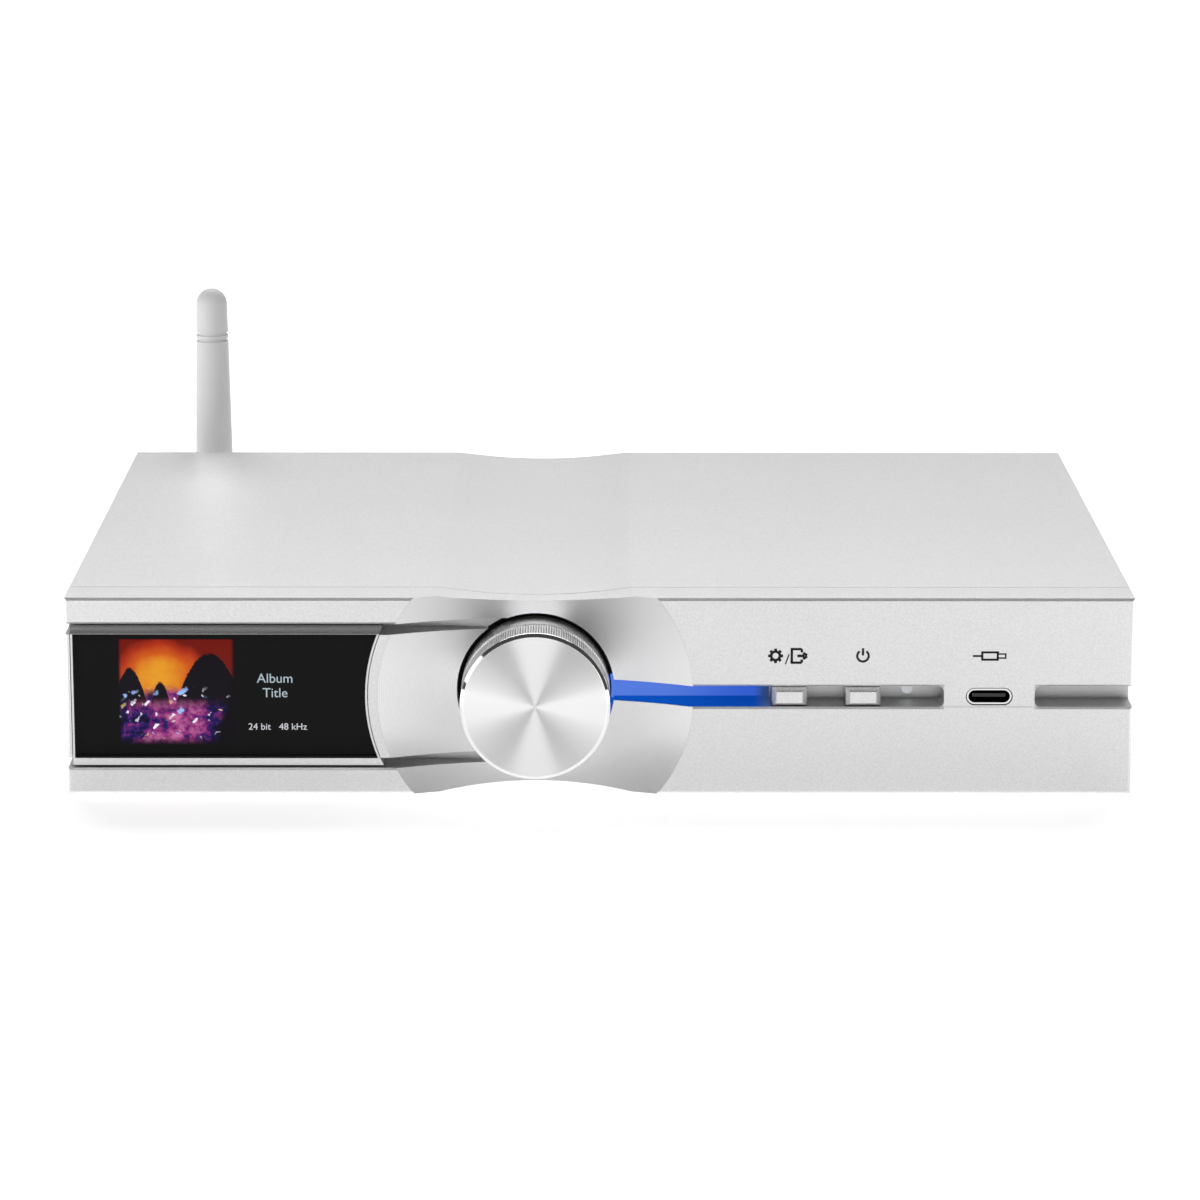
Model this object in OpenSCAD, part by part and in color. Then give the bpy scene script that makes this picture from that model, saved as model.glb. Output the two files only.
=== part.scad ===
// Small network audio player in an aluminium case, with a dished front, a push-and-turn
// volume knob, a colour display, two push buttons and a swivelling aerial at the rear.
// X runs to the right, Y runs from front to back, Z runs up from the surface it stands on.

/* [Case] */
// Width of the case
case_w = 214; // [180:1:260]
// Depth of the case, front face to rear face
case_d = 151; // [130:1:220]
// Height of the case without its feet
case_h = 40.4; // [36:0.1:48]
// How far the rubber feet stand below the case
foot_out = 0.6; // [0.4:0.1:2]
// Thickness of the solid front panel
panel_t = 10.1; // [9.5:0.1:14]
// Thickness of the rear panel
rear_t = 2.5; // [2:0.1:4]
// Wall thickness of the extruded sleeve
wall = 2.5; // [2:0.1:3]
// Chamfer along the front edges of the case
edge_chamfer = 0.5; // [0.2:0.1:1]

/* [Scoop in the top and bottom] */
// Width of the shallow scoop that runs the length of the case
scoop_w = 38.6; // [30:0.1:44]
// Depth of the scoop at its middle
scoop_drop = 1.5; // [0.8:0.1:1.8]

/* [Dish around the knob] */
// Place of the knob axis to the right of the middle of the case
axis_x = -12.9; // [-20:0.1:0]
// Radius of the dish's edge on the front face
dish_r = 31.8; // [30:0.1:33]
// Radius of the sphere that the dish is turned to
dish_sphere_r = 72; // [68:1:80]

/* [Knob] */
// Radius of the knob
knob_r = 15; // [12:0.1:15]
// How far the knob's face stands in front of the case
knob_out = 8.5; // [6:0.1:12]
// Radius of the hole that the knob sinks into
knob_hole_r = 15.9; // [15.6:0.1:17]
// How far the knob moves when it is pressed
knob_travel = 0.5; // [0.2:0.05:0.5]

/* [Grooves] */
// Depth of the grooves in the front panel
groove_depth = 7.6; // [6:0.1:8]
// Height of the button groove on the right
groove_h = 4.3; // [4:0.1:5]
// Inner edge of the upper and lower slots on the left, from mid height
slot_in = 12.7; // [12:0.1:13]
// Outer edge of the upper and lower slots on the left, from mid height
slot_out = 14.9; // [14.5:0.1:15.2]
// Chamfer along the lips of the grooves
lip_chamfer = 0.4; // [0.2:0.1:0.6]

/* [Buttons and front socket] */
// Place of the settings button
settings_x = 38.1; // [37:0.1:42]
// Place of the power button
power_x = 52.9; // [50:0.1:55]
// Width of a button cap
button_w = 7.0; // [6:0.1:8]
// Height of a button cap
button_h = 3.7; // [3.2:0.1:3.7]
// How far a button moves when it is pressed
button_travel = 0.4; // [0.2:0.05:0.4]
// Place of the status light
status_x = 62.2; // [60:0.1:66]
// Place of the front data socket
usb_x = 78.2; // [76:0.1:82]
// Width of the solid block around the front data socket
usb_block_w = 18.2; // [14:0.1:20]
// How far the face of that block lies behind the front face
usb_block_in = 0.25; // [0.1:0.05:0.4]

/* [Display] */
// Left edge of the display frame
display_left = -105.9; // [-105.9:0.1:-100]
// Height of the display opening
display_h = 25.6; // [20:0.1:25.6]
// How far the glass lies behind the front face
glass_recess = 1.8; // [0.5:0.1:3]

/* [Aerial] */
// Place of the aerial
aerial_x = -90.3; // [-92:0.1:-84]
// How far the aerial's hinge lies behind the case
aerial_back = 13; // [13:0.1:15]
// Height of the aerial's tip above its hinge
aerial_len = 56.5; // [45:0.5:110]
// Radius of the aerial at its hinge
aerial_r1 = 4.5; // [4:0.1:4.5]
// Radius of the aerial at its tip
aerial_r2 = 3.6; // [3:0.1:4]

/* [Hidden] */
$fn = 64;

eps = 0.01;
big = 400;                                            // longer than the whole object
mid_z = foot_out + case_h / 2;                        // height of the knob axis and the grooves
top_z = foot_out + case_h;
back_y = case_d + aerial_back + aerial_r1;            // rearmost point, from the front face
front_y = -(back_y + knob_out) / 2 + knob_out;        // centres the whole object on the origin
sleeve_end = case_d - rear_t;
scoop_r = (scoop_w * scoop_w / 4 + scoop_drop * scoop_drop) / (2 * scoop_drop);
dish_centre_y = -sqrt(dish_sphere_r * dish_sphere_r - dish_r * dish_r);
groove_end_r = 1.2;                                   // corner radius of a groove's end

corner_x = 101;                                       // case bolts, from the middle
corner_z = 17.3;
bolt_r = 1.5;
bolt_head_r = 2.6;
boss_r = 3.2;
foot_r = 6;
foot_sink = 1.0;
foot_x = 88;
foot_y = [17, 134];

knob_chamfer = 0.6;
knob_hole_depth = 8.6;
bushing_r = 3.5;
shaft_r = 3.0;
running_gap = 0.05;
board_y = 16.2;                                       // front face of the front board
board_t = 1.6;
cap_face_y = 0.1;
cap_back_y = 6.9;
stem_w = 3.2;
stem_h = 2.2;
stem_end_y = 12.2;
switch_depth = 3.4;

arc_gap_r = dish_r + 1.8;                             // land between dish and display pocket
frame_gap = 0.15;
frame_rim = 0.4;
frame_rail = 14.4;                                    // half height of the frame's bevelled rails
frame_depth = 7.4;
frame_bevel = 1.5;                                    // height of both bevels, and depth of the upper one
frame_low_bevel = 0.6;                                // depth of the lower bevel
glass_t = 1.1;
module_t = 3.4;

main_top = 12.2;                                      // top face of the main board
main_x = 102;                                         // half width of the main board
main_y = [22, 146.5];
rail_grip = 2.5;

inlet_x = -68;
ethernet_x = -46;
ethernet_w = 16;
ethernet_h = 15;
usb_a_x = [-24, -4];
optical_x = 16;
optical_cavity = 4.1;                                 // half width of the optical socket's inside
optical_depth = 17;
shutter_in = 4.6;                                     // how far the shutter hangs behind the rear face
shutter_hinge_z = optical_cavity - 0.7;
coaxial_x = 33;
balanced_x = 53;
line_x = [73, 91];
phono_r = 4.15;
phono_out = 8.2;
phono_bore_r = 1.6;
balanced_r = 2.25;
hinge_pin_r = 0.9;

aerial_y = case_d + aerial_back;

// Puts a sub-part drawn from the middle of the case's front face into the frame
module placed() { translate([0, front_y, 0]) children(); }

// Puts a shape drawn about the knob's axis, or about mid height, in its place
module at(x, y = 0, z = 0) { translate([x, y, mid_z + z]) children(); }

// A round bar along Y from y to y + l
module bar(r, y, l) { translate([0, y, 0]) rotate([-90, 0, 0]) cylinder(r = r, h = l); }

// A ring turned about the Y axis from [radius, y] points
module turned(points) { rotate([-90, 0, 0]) rotate_extrude() polygon(points); }

// An outline in X and Z given thickness from y to y + t
module slab(y, t) { translate([0, y + t, 0]) rotate([90, 0, 0]) linear_extrude(t) children(); }

// A profile in Y and Z drawn along X from x to x + l
module along_x(x, l) { translate([x, 0, 0]) rotate([90, 0, 90]) linear_extrude(l) children(); }

// A block from its low corner to its high corner
module block(low, high) { translate(low) cube(high - low); }

// A block centred in X and Z on the origin, from y to y + l
module post(w, h, y, l) { translate([-w / 2, y, -h / 2]) cube([w, l, h]); }

// The case's cross-section about mid height, drawn smaller by inset
module case_outline(inset = 0) {
    difference() {
        square([case_w - 2 * inset, case_h - 2 * inset], center = true);
        for (s = [-1, 1])
            translate([axis_x, s * (case_h / 2 - scoop_drop + scoop_r)])
                circle(r = scoop_r + inset, $fn = 180);
    }
}

// A 45 degree cut along X at height z on the front face
module front_cut_x(z, size) {
    translate([0, 0, z]) rotate([45, 0, 0])
        cube([big, size * sqrt(2), size * sqrt(2)], center = true);
}

// A 45 degree cut along Z at the front face's edge x
module front_cut_z(x, size) {
    translate([x, 0, 0]) rotate([0, 0, 45])
        cube([size * sqrt(2), size * sqrt(2), big], center = true);
}

// A flat-ended slot of width w and height h with rounded ends, in X and Z
module stadium(w, h) {
    square([w - h, h], center = true);
    for (s = [-1, 1]) translate([s * (w - h) / 2, 0]) circle(d = h);
}

// The dish, as the space that the cutter takes out
module dish_space(extra = 0) {
    at(axis_x, dish_centre_y) rotate([-90, 0, 0]) sphere(r = dish_sphere_r + extra, $fn = 160);
}

// The button groove, open towards the knob and towards the right side
module groove_space() {
    left_end = usb_x - usb_block_w / 2;
    right_start = usb_x + usb_block_w / 2;
    at(0) {
        slab(-1, groove_depth + 1) {
            translate([axis_x, -groove_h / 2]) square([left_end - groove_end_r - axis_x, groove_h]);
            translate([left_end - 2 * groove_end_r, 0])
                rounded_end(4 * groove_end_r, groove_h, groove_end_r, -1);
            translate([right_start + 2 * groove_end_r, 0])
                rounded_end(4 * groove_end_r, groove_h, groove_end_r, 1);
            translate([right_start + groove_end_r, -groove_h / 2]) square([case_w, groove_h]);
        }
        difference() {
            for (s = [-1, 1]) front_cut_x(s * groove_h / 2, lip_chamfer);
            block([-big, -5, -big], [axis_x, 5, big]);
            block([left_end, -5, -big], [right_start, 5, big]);
        }
    }
}

// A rectangle with two of its corners rounded: side -1 rounds the right end, 1 the left end
module rounded_end(w, h, r, side) {
    translate([side * r / 2, 0]) square([w - r, h], center = true);
    translate([-side * (w / 2 - r), 0]) square([2 * r, h - 2 * r], center = true);
    for (s = [-1, 1]) translate([-side * (w / 2 - r), s * (h / 2 - r)]) circle(r = r);
}

// The upper and lower slots on the left, which run from the side into the knob's hole
module left_slots() {
    at(0) {
        for (s = [-1, 1])
            slab(-1, groove_depth + 1)
                translate([-case_w / 2 - 1, s > 0 ? slot_in : -slot_out])
                    square([case_w / 2 + 1 + axis_x - 4, slot_out - slot_in]);
        difference() {
            for (s = [-1, 1]) front_cut_x(s * slot_out, lip_chamfer);
            block([axis_x - 4, -5, -big], [big, 5, big]);
        }
    }
}

// Outline of what fills the display pocket: left edge, half height, and how far from the dish
module display_outline(left, half_h, arc_r) {
    difference() {
        translate([left, -half_h]) square([axis_x - 20 - left, 2 * half_h]);
        translate([axis_x, 0]) circle(r = arc_r, $fn = 180);
        translate([axis_x - 26, -half_h - 1]) square([30, 2 * half_h + 2]);
    }
}

// The four case bolt places
module at_corners() {
    for (x = [-corner_x, corner_x], z = [-corner_z, corner_z]) at(x, 0, z) children();
}

module front_panel() {
    color("gainsboro") placed() difference() {
        at(0) slab(0, panel_t) case_outline();
        at(0) for (s = [-1, 1]) {
            front_cut_x(s * case_h / 2, edge_chamfer);
            front_cut_z(s * case_w / 2, edge_chamfer);
        }
        dish_space();
        at(axis_x) bar(knob_hole_r, -1, knob_hole_depth + 1);
        at(axis_x) bar(bushing_r + running_gap, 0, panel_t + 1);
        groove_space();
        left_slots();
        at(0) slab(-1, groove_depth + 1)
            display_outline(display_left - frame_gap, slot_out, arc_gap_r);
        // window for the display's cable
        at(-88, 0, 0) post(18, 8, 0, panel_t + 1);
        // windows for the button stems, the status light, the light guide and the data socket
        for (x = [settings_x, power_x]) at(x) post(stem_w + 0.4, stem_h + 0.4, 0, panel_t + 1);
        at(status_x) bar(1.15, 0, panel_t + 1);
        at(20) post(4.2, 2.2, 0, panel_t + 1);
        at(usb_x) {
            slab(-1, panel_t + 2) stadium(9.4, 3.6);
            post(usb_block_w, groove_h, -1, 1 + usb_block_in);
        }
        at_corners() bar(bolt_r, 4.1, panel_t);
    }
}

module body_sleeve() {
    color("gainsboro") placed() difference() {
        at(0) slab(panel_t + 0.2, sleeve_end - panel_t - 0.2) case_outline();
        at(0) slab(panel_t, case_d) difference() {
            case_outline(wall);
            for (x = [-corner_x, corner_x], z = [-corner_z, corner_z])
                translate([x, z]) circle(r = boss_r);
            // rails that grip the main board's two side edges
            for (s = [-1, 1], z = [main_top - board_t - 1.4, main_top + 0.1])
                translate([s > 0 ? main_x - rail_grip : -case_w / 2, z - mid_z])
                    square([case_w / 2 - main_x + rail_grip, 1.3]);
        }
        at_corners() bar(bolt_r + 0.2, 0, case_d);
        for (x = [-foot_x, foot_x], y = foot_y)
            translate([x, y, foot_out - 1]) cylinder(r = foot_r + 0.1, h = foot_sink + 1);
    }
}

module rear_panel() {
    color("gainsboro") placed() difference() {
        at(0) slab(sleeve_end, rear_t) case_outline();
        at(0) for (s = [-1, 1]) translate([0, case_d, 0]) {
            front_cut_x(s * case_h / 2, edge_chamfer);
            front_cut_z(s * case_w / 2, edge_chamfer);
        }
        at_corners() bar(bolt_r + 0.2, 0, case_d + 1);
        at(aerial_x) bar(3.25, 0, case_d + 1);
        at(inlet_x) bar(4.1, 0, case_d + 1);
        at(ethernet_x) block([-ethernet_w / 2 - 0.1, 100, main_top - mid_z - 0.1],
                             [ethernet_w / 2 + 0.1, 200, main_top - mid_z + ethernet_h + 0.1]);
        for (x = usb_a_x) at(x) post(13.4, 6.2, 100, 100);
        at(optical_x) post(10.2, 10.2, 100, 100);
        for (x = concat(line_x, [coaxial_x])) at(x) bar(phono_r + 0.6, 0, case_d + 1);
        at(balanced_x) bar(5.6, 0, case_d + 1);
    }
}

module case_bolts() {
    color("dimgray") placed() at_corners() difference() {
        union() {
            bar(bolt_r - running_gap, 4.6, case_d - 4.6 + 0.5);
            turned([[0, case_d], [bolt_head_r, case_d], [bolt_head_r, case_d + 1.1],
                    [bolt_head_r - 0.5, case_d + 1.6], [0, case_d + 1.6]]);
        }
        translate([0, case_d + 0.7, 0]) rotate([-90, 0, 0]) cylinder(r = 1.15, h = 2, $fn = 6);
    }
}

module rubber_feet() {
    color("black") placed() for (x = [-foot_x, foot_x], y = foot_y)
        translate([x, y, 0]) rotate_extrude()
            polygon([[0, 0], [foot_r - 0.5, 0], [foot_r - 0.1, 0.4],
                     [foot_r - 0.1, foot_out + foot_sink], [0, foot_out + foot_sink]]);
}

module display_frame() {
    color("silver") placed() difference() {
        intersection() {
            at(0) slab(0, frame_depth)
                display_outline(display_left, frame_rail, arc_gap_r + frame_gap);
            at(0) along_x(-case_w, 2 * case_w)
                polygon([[0, -frame_rail + frame_bevel], [0, frame_rail - frame_bevel],
                         [frame_bevel, frame_rail], [frame_depth, frame_rail],
                         [frame_depth, -frame_rail], [frame_low_bevel, -frame_rail]]);
        }
        at(0) slab(-1, big) display_outline(display_left + frame_rim, display_h / 2,
                                            arc_gap_r + frame_gap + frame_rim);
    }
}

module display_glass() {
    color("black") placed() at(0) slab(glass_recess, glass_t)
        display_outline(display_left + frame_rim + 0.02, display_h / 2 - 0.02,
                        arc_gap_r + frame_gap + frame_rim + 0.02);
}

module display_module() {
    color("dimgray") placed() at(0) slab(glass_recess + glass_t, module_t)
        translate([display_left + 1, -display_h / 2 + 0.5]) square([56, display_h - 1]);
}

module display_cable() {
    flat_t = 0.3;
    start_y = glass_recess + glass_t + module_t;
    color("orange") placed() at(-88) difference() {
        union() {
            post(14, flat_t, start_y, 20 - start_y);
            translate([-7, 20 - flat_t, -5]) cube([14, flat_t, 5]);
            translate([-7, 20 - flat_t, -5]) cube([26, flat_t, 4]);
        }
        // keeps the bend clear of the display module
        block([-20, 0, -20], [20, start_y, 20]);
    }
}

module volume_knob() {
    face = -knob_out;
    color("silver") placed() at(axis_x) turned([
        [0, face], [knob_r - knob_chamfer, face], [knob_r, face + knob_chamfer],
        [knob_r, face + 8.1], [knob_r - 0.45, face + 8.15], [knob_r - 0.45, face + 8.85],
        [knob_r, face + 8.9], [knob_r, 7.9], [knob_r - 2.2, 7.9], [knob_r - 2.2, -3.5],
        [6, -3.5], [6, 3.2], [shaft_r + 0.02, 3.2], [shaft_r + 0.02, -4.2], [0, -4.2]]);
}

module encoder_shaft() {
    color("gray") placed() at(axis_x) turned([
        [0, -4.1], [2.6, -4.1], [shaft_r, -3.7], [shaft_r, 13.95], [0, 13.95]]);
}

module encoder_plunger() {
    color("black") placed() at(axis_x) bar(2, 14, 1);
}

module encoder_body() {
    color("gray") placed() at(axis_x) difference() {
        union() {
            post(12.4, 13.2, panel_t, board_y - panel_t);
            bar(bushing_r, 4, panel_t - 4 + eps);
        }
        bar(shaft_r + running_gap, 0, 15.6);
    }
}

module encoder_nut() {
    color("silver") placed() at(axis_x) difference() {
        translate([0, knob_hole_depth - 2.2, 0]) rotate([-90, 0, 0]) cylinder(r = 5.7, h = 2.2, $fn = 6);
        bar(bushing_r + 0.02, 0, 20);
    }
}

// A push button: bevelled cap in the groove, stem through the panel, and a lip that keeps it in
module push_button() {
    bevel = 0.9;
    low_bevel = 0.5;
    w = button_w / 2;
    h = button_h / 2;
    intersection() {
        translate([0, 0, -5]) linear_extrude(10)
            polygon([[-w + bevel, cap_face_y], [w - bevel, cap_face_y], [w, cap_face_y + bevel],
                     [w, cap_back_y], [-w, cap_back_y], [-w, cap_face_y + bevel]]);
        along_x(-5, 10)
            polygon([[cap_face_y, -h + low_bevel], [cap_face_y, h - bevel],
                     [cap_face_y + bevel, h], [cap_back_y, h], [cap_back_y, -h],
                     [cap_face_y + low_bevel, -h]]);
    }
    post(stem_w, stem_h, cap_back_y - eps, stem_end_y - cap_back_y + eps);
    for (s = [-1, 1]) translate([s * (stem_w / 2 + 0.4), 0, 0])
        post(0.8 + eps, stem_h, panel_t + 0.1, 0.8);
}

module settings_button() { color("whitesmoke") placed() at(settings_x) push_button(); }

module power_button() { color("whitesmoke") placed() at(power_x) push_button(); }

// A tactile switch on the front board
module tact_switch() {
    post(6, 6, board_y - switch_depth, switch_depth);
    bar(1.6, board_y - switch_depth - 0.15, 0.2);
}

module settings_switch() { color("black") placed() at(settings_x) tact_switch(); }

module power_switch() { color("black") placed() at(power_x) tact_switch(); }

module status_light_lens() {
    color("white") placed() at(status_x) {
        bar(1.1, groove_depth - 0.3, board_y - groove_depth + 0.3);
        bar(1.8, panel_t + 0.1, 1);
    }
}

// Lines the groove between the knob and the settings button, with a tab in the knob's ring gap
module light_guide() {
    liner = 0.3;
    end_x = settings_x - button_w / 2 - 0.4;
    start_x = axis_x + knob_hole_r;
    tab_in = knob_r + 0.3;
    color("blue") placed() difference() {
        at(0) union() {
            block([start_x - 0.5, groove_depth - liner, -groove_h / 2],
                  [end_x, groove_depth, groove_h / 2]);
            block([start_x - 0.5, lip_chamfer + 0.1, -groove_h / 2],
                  [end_x, groove_depth, -groove_h / 2 + liner]);
            translate([20, 0, 0]) post(4, 2, groove_depth - eps, 13 - groove_depth);
            translate([axis_x, 0, 0]) rotate([-90, 12, 0]) translate([0, 0, 4]) rotate([0, 0, -22])
                rotate_extrude(angle = 32, $fn = 128)
                    translate([tab_in, 0]) square([knob_hole_r - tab_in - 0.02, 4.4]);
        }
        dish_space(0.25);
        at(axis_x) bar(tab_in, 0, 20);
    }
}

module light_guide_led() { color("white") placed() at(20) post(5, 3, 13.05, board_y - 13.05); }

module usb_c_shell() {
    color("silver") placed() at(usb_x) difference() {
        slab(0.5, board_y - 0.5) stadium(9.0, 3.2);
        slab(0, 7.2) stadium(8.34, 2.56);
    }
}

module usb_c_tongue() { color("black") placed() at(usb_x) post(6.7, 0.7, 1.6, 7.2 - 1.6); }

module front_board() {
    color("darkgreen") placed() at(0) difference() {
        block([-64, board_y, -14], [95, board_y + board_t, 14]);
        for (x = [-60, 91], z = [-11, 11]) translate([x, 0, z]) bar(1.6, 0, big);
    }
}

module front_ribbon_cable() {
    flat_t = 0.3;
    w = 20;
    color("orange") placed() at(0) {
        block([60, board_y + board_t, -7], [60 + w, board_y + board_t + 4, -7 + flat_t]);
        block([60, board_y + board_t + 4 - flat_t, main_top - mid_z], [60 + w, board_y + board_t + 4, -7]);
        block([60, board_y + board_t + 4 - flat_t, main_top - mid_z],
              [60 + w, 30, main_top - mid_z + flat_t]);
    }
}

module main_board() {
    color("darkgreen") placed() difference() {
        block([-main_x, main_y[0], main_top - board_t], [main_x, main_y[1], main_top]);
        for (x = [-70, 0, 70]) translate([x, 34, 0]) cylinder(r = 1.6, h = big);
    }
}

// Puts a part down on the main board
module on_board(x, y) { translate([x, y, main_top]) children(); }

module processor() { color("black") placed() on_board(-50, 75) block([-9, -9, 0], [9, 9, 2]); }

module heat_sink() {
    color("silver") placed() on_board(-50, 75) {
        block([-14, -14, 2], [14, 14, 4.5]);
        for (i = [0:6]) block([-14 + i * 4.4, -14, 4.5 - eps], [-14 + i * 4.4 + 1.6, 14, 14]);
    }
}

module audio_shield_can() {
    color("lightgray") placed() on_board(60, 80) difference() {
        block([-32, -26, 0], [32, 26, 9]);
        block([-31.5, -25.5, -1], [31.5, 25.5, 8.5]);
    }
}

module output_relays() {
    color("darkorange") placed() for (i = [0:3])
        on_board(34 + i * 17, 120) block([-5, -7.5, 0], [5, 7.5, 10]);
}

module power_coil() {
    color("black") placed() on_board(-70, 111) difference() {
        block([-7, -7, 0], [7, 7, 6]);
        translate([0, 0, 5.5]) cylinder(r = 4, h = 2);
    }
}

module capacitors() {
    color("slategray") placed() {
        for (i = [0:4]) on_board(-12 + i * 9, 104) cylinder(r = 4, h = 14);
        for (i = [0:3]) on_board(-90 + i * 11, 97) cylinder(r = 4.8, h = 16);
        for (i = [0:5]) on_board(30 + i * 10, 46) cylinder(r = 3.1, h = 11);
    }
}

module wifi_module() { color("silver") placed() on_board(-86, 124) block([-8, -6, 0], [8, 6, 2.4]); }

// Thin coaxial lead from the radio module to the aerial socket
module wifi_lead() {
    lead_r = 0.6;
    bend = 4;
    lead_y = 128;
    color("black") placed() {
        translate([aerial_x, lead_y, main_top + 2.4])
            cylinder(r = lead_r, h = mid_z - bend - main_top - 2.4);
        translate([aerial_x, lead_y + bend, mid_z - bend]) intersection() {
            rotate([0, 90, 0]) rotate_extrude() translate([bend, 0]) circle(r = lead_r);
            block([-5, -10, 0], [5, 0, 10]);
        }
        at(aerial_x) bar(lead_r, lead_y + bend, 141 - lead_y - bend);
    }
}

// Body of a rear connector that stands on the main board behind its round front
module board_mounted(w, depth, height) {
    y1 = sleeve_end - 0.1;
    block([-w / 2, y1 - depth, main_top - mid_z], [w / 2, y1, main_top - mid_z + height]);
}

module power_inlet() {
    color("black") placed() at(inlet_x) difference() {
        union() {
            board_mounted(9, 11, 14);
            bar(4, sleeve_end - 1, rear_t + 1.4);
        }
        bar(2.8, case_d - 9.1, 20);
    }
}

module power_inlet_pin() { color("silver") placed() at(inlet_x) bar(1.05, case_d - 9.1, 8.4); }

module ethernet_jack() {
    color("silver") placed() at(ethernet_x) difference() {
        translate([-ethernet_w / 2, case_d - 20, main_top - mid_z])
            cube([ethernet_w, 20.6, ethernet_h]);
        block([-5.9, case_d - 12, -3.6], [5.9, big, 3.2]);
        block([-3, case_d - 12, 3.2 - eps], [3, big, 5.2]);
    }
}

module usb_a_shells() {
    color("silver") placed() for (x = usb_a_x) at(x) difference() {
        union() {
            translate([0, 0, -0.02]) post(13.1, 5.7, case_d - 14, 14.6);
            block([-6, case_d - 14, main_top - mid_z], [6, case_d - 4, 0]);
        }
        post(12.5, 5.1, case_d - 9.5, 20);
    }
}

module usb_a_tongues() {
    color("white") placed() for (x = usb_a_x) at(x)
        block([-5.6, case_d - 9.5, 0.5], [5.6, case_d - 0.9, 2.3]);
}

module optical_output() {
    color("black") placed() at(optical_x) difference() {
        union() {
            post(10, 10, case_d - optical_depth, optical_depth + 0.4);
            block([-5, case_d - optical_depth, main_top - mid_z], [5, case_d - 4, 0]);
        }
        post(2 * optical_cavity, 2 * optical_cavity, case_d - optical_depth + 4.4, 20);
        translate([-4.7, case_d - shutter_in, shutter_hinge_z]) rotate([0, 90, 0])
            cylinder(r = 0.4, h = 9.4);
    }
}

module optical_shutter() {
    color("dimgray") placed() at(optical_x, case_d - shutter_in, shutter_hinge_z) difference() {
        union() {
            block([-3.8, -0.45, -6.9], [3.8, 0.45, 0]);
            translate([-3.8, 0, 0]) rotate([0, 90, 0]) cylinder(r = 0.6, h = 7.6);
        }
        translate([-5, 0, 0]) rotate([0, 90, 0]) cylinder(r = 0.45, h = 10);
    }
}

module optical_shutter_pin() {
    color("silver") placed() at(optical_x, case_d - shutter_in, shutter_hinge_z)
        translate([-4.6, 0, 0]) rotate([0, 90, 0]) cylinder(r = 0.4, h = 9.2);
}

// The metal body of a phono socket: a flange on the panel, the barrel and a solder block
module phono_body() {
    difference() {
        union() {
            bar(phono_r, sleeve_end - 1, rear_t + 1 + phono_out);
            bar(5.6, case_d, 1.2);
            board_mounted(10, 9, 14);
        }
        bar(3.3, sleeve_end - 1, 20);
    }
}

// The insulator that fills the barrel and holds the centre contact's bore
module phono_core() {
    difference() {
        bar(3.28, sleeve_end - 1, rear_t + 1 + phono_out - 0.4);
        bar(phono_bore_r, case_d - 1, 20);
    }
}

module coaxial_output() { color("gold") placed() at(coaxial_x) phono_body(); }

module coaxial_insulator() { color("orange") placed() at(coaxial_x) phono_core(); }

module line_outputs() { color("gold") placed() for (x = line_x) at(x) phono_body(); }

module line_insulators() { color("white") placed() for (x = line_x) at(x) phono_core(); }

module balanced_output() {
    color("gold") placed() at(balanced_x) difference() {
        union() {
            bar(5.5, sleeve_end - 15, 15 + rear_t);
            bar(7, case_d, 1.6);
        }
        bar(balanced_r, case_d + 1.6 - 16, 20);
    }
}

module aerial_socket() {
    color("gold") placed() at(aerial_x) {
        bar(3.1, 141, aerial_y - 6.7 - 141);
        translate([0, sleeve_end - 2.1, 0]) rotate([-90, 0, 0]) cylinder(r = 5, h = 2, $fn = 6);
    }
}

module aerial_nut() {
    color("gold") placed() at(aerial_x) difference() {
        translate([0, case_d + 0.05, 0]) rotate([-90, 0, 0]) cylinder(r = 4.9, h = 2, $fn = 6);
        bar(3.12, 0, 200);
    }
}

module aerial_collar() {
    color("lightgray") placed() at(aerial_x) difference() {
        turned([[0, case_d + 2.2], [4.2, case_d + 2.2], [4.6, case_d + 2.6], [4.6, aerial_y - 7.1],
                [4.2, aerial_y - 6.8], [0, aerial_y - 6.8]]);
        bar(3.12, 0, aerial_y - 6.69);
    }
}

// Turns about the socket; its tongue carries the hinge pin
module aerial_knuckle() {
    color("lightgray") placed() at(aerial_x, aerial_y) difference() {
        union() {
            turned([[0, -6.6], [4.2, -6.6], [4.4, -6.4], [4.4, -5.0], [4.2, -4.8], [0, -4.8]]);
            block([-1.5, -4.8 - eps, -3.9], [1.5, 0, 3.9]);
            translate([-1.5, 0, 0]) rotate([0, 90, 0]) cylinder(r = 3.9, h = 3);
        }
        translate([-10, 0, 0]) rotate([0, 90, 0]) cylinder(r = hinge_pin_r, h = 20);
    }
}

module aerial_pin() {
    color("silver") placed() at(aerial_x, aerial_y)
        translate([-3.9, 0, 0]) rotate([0, 90, 0]) cylinder(r = hinge_pin_r - 0.01, h = 7.8);
}

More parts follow.
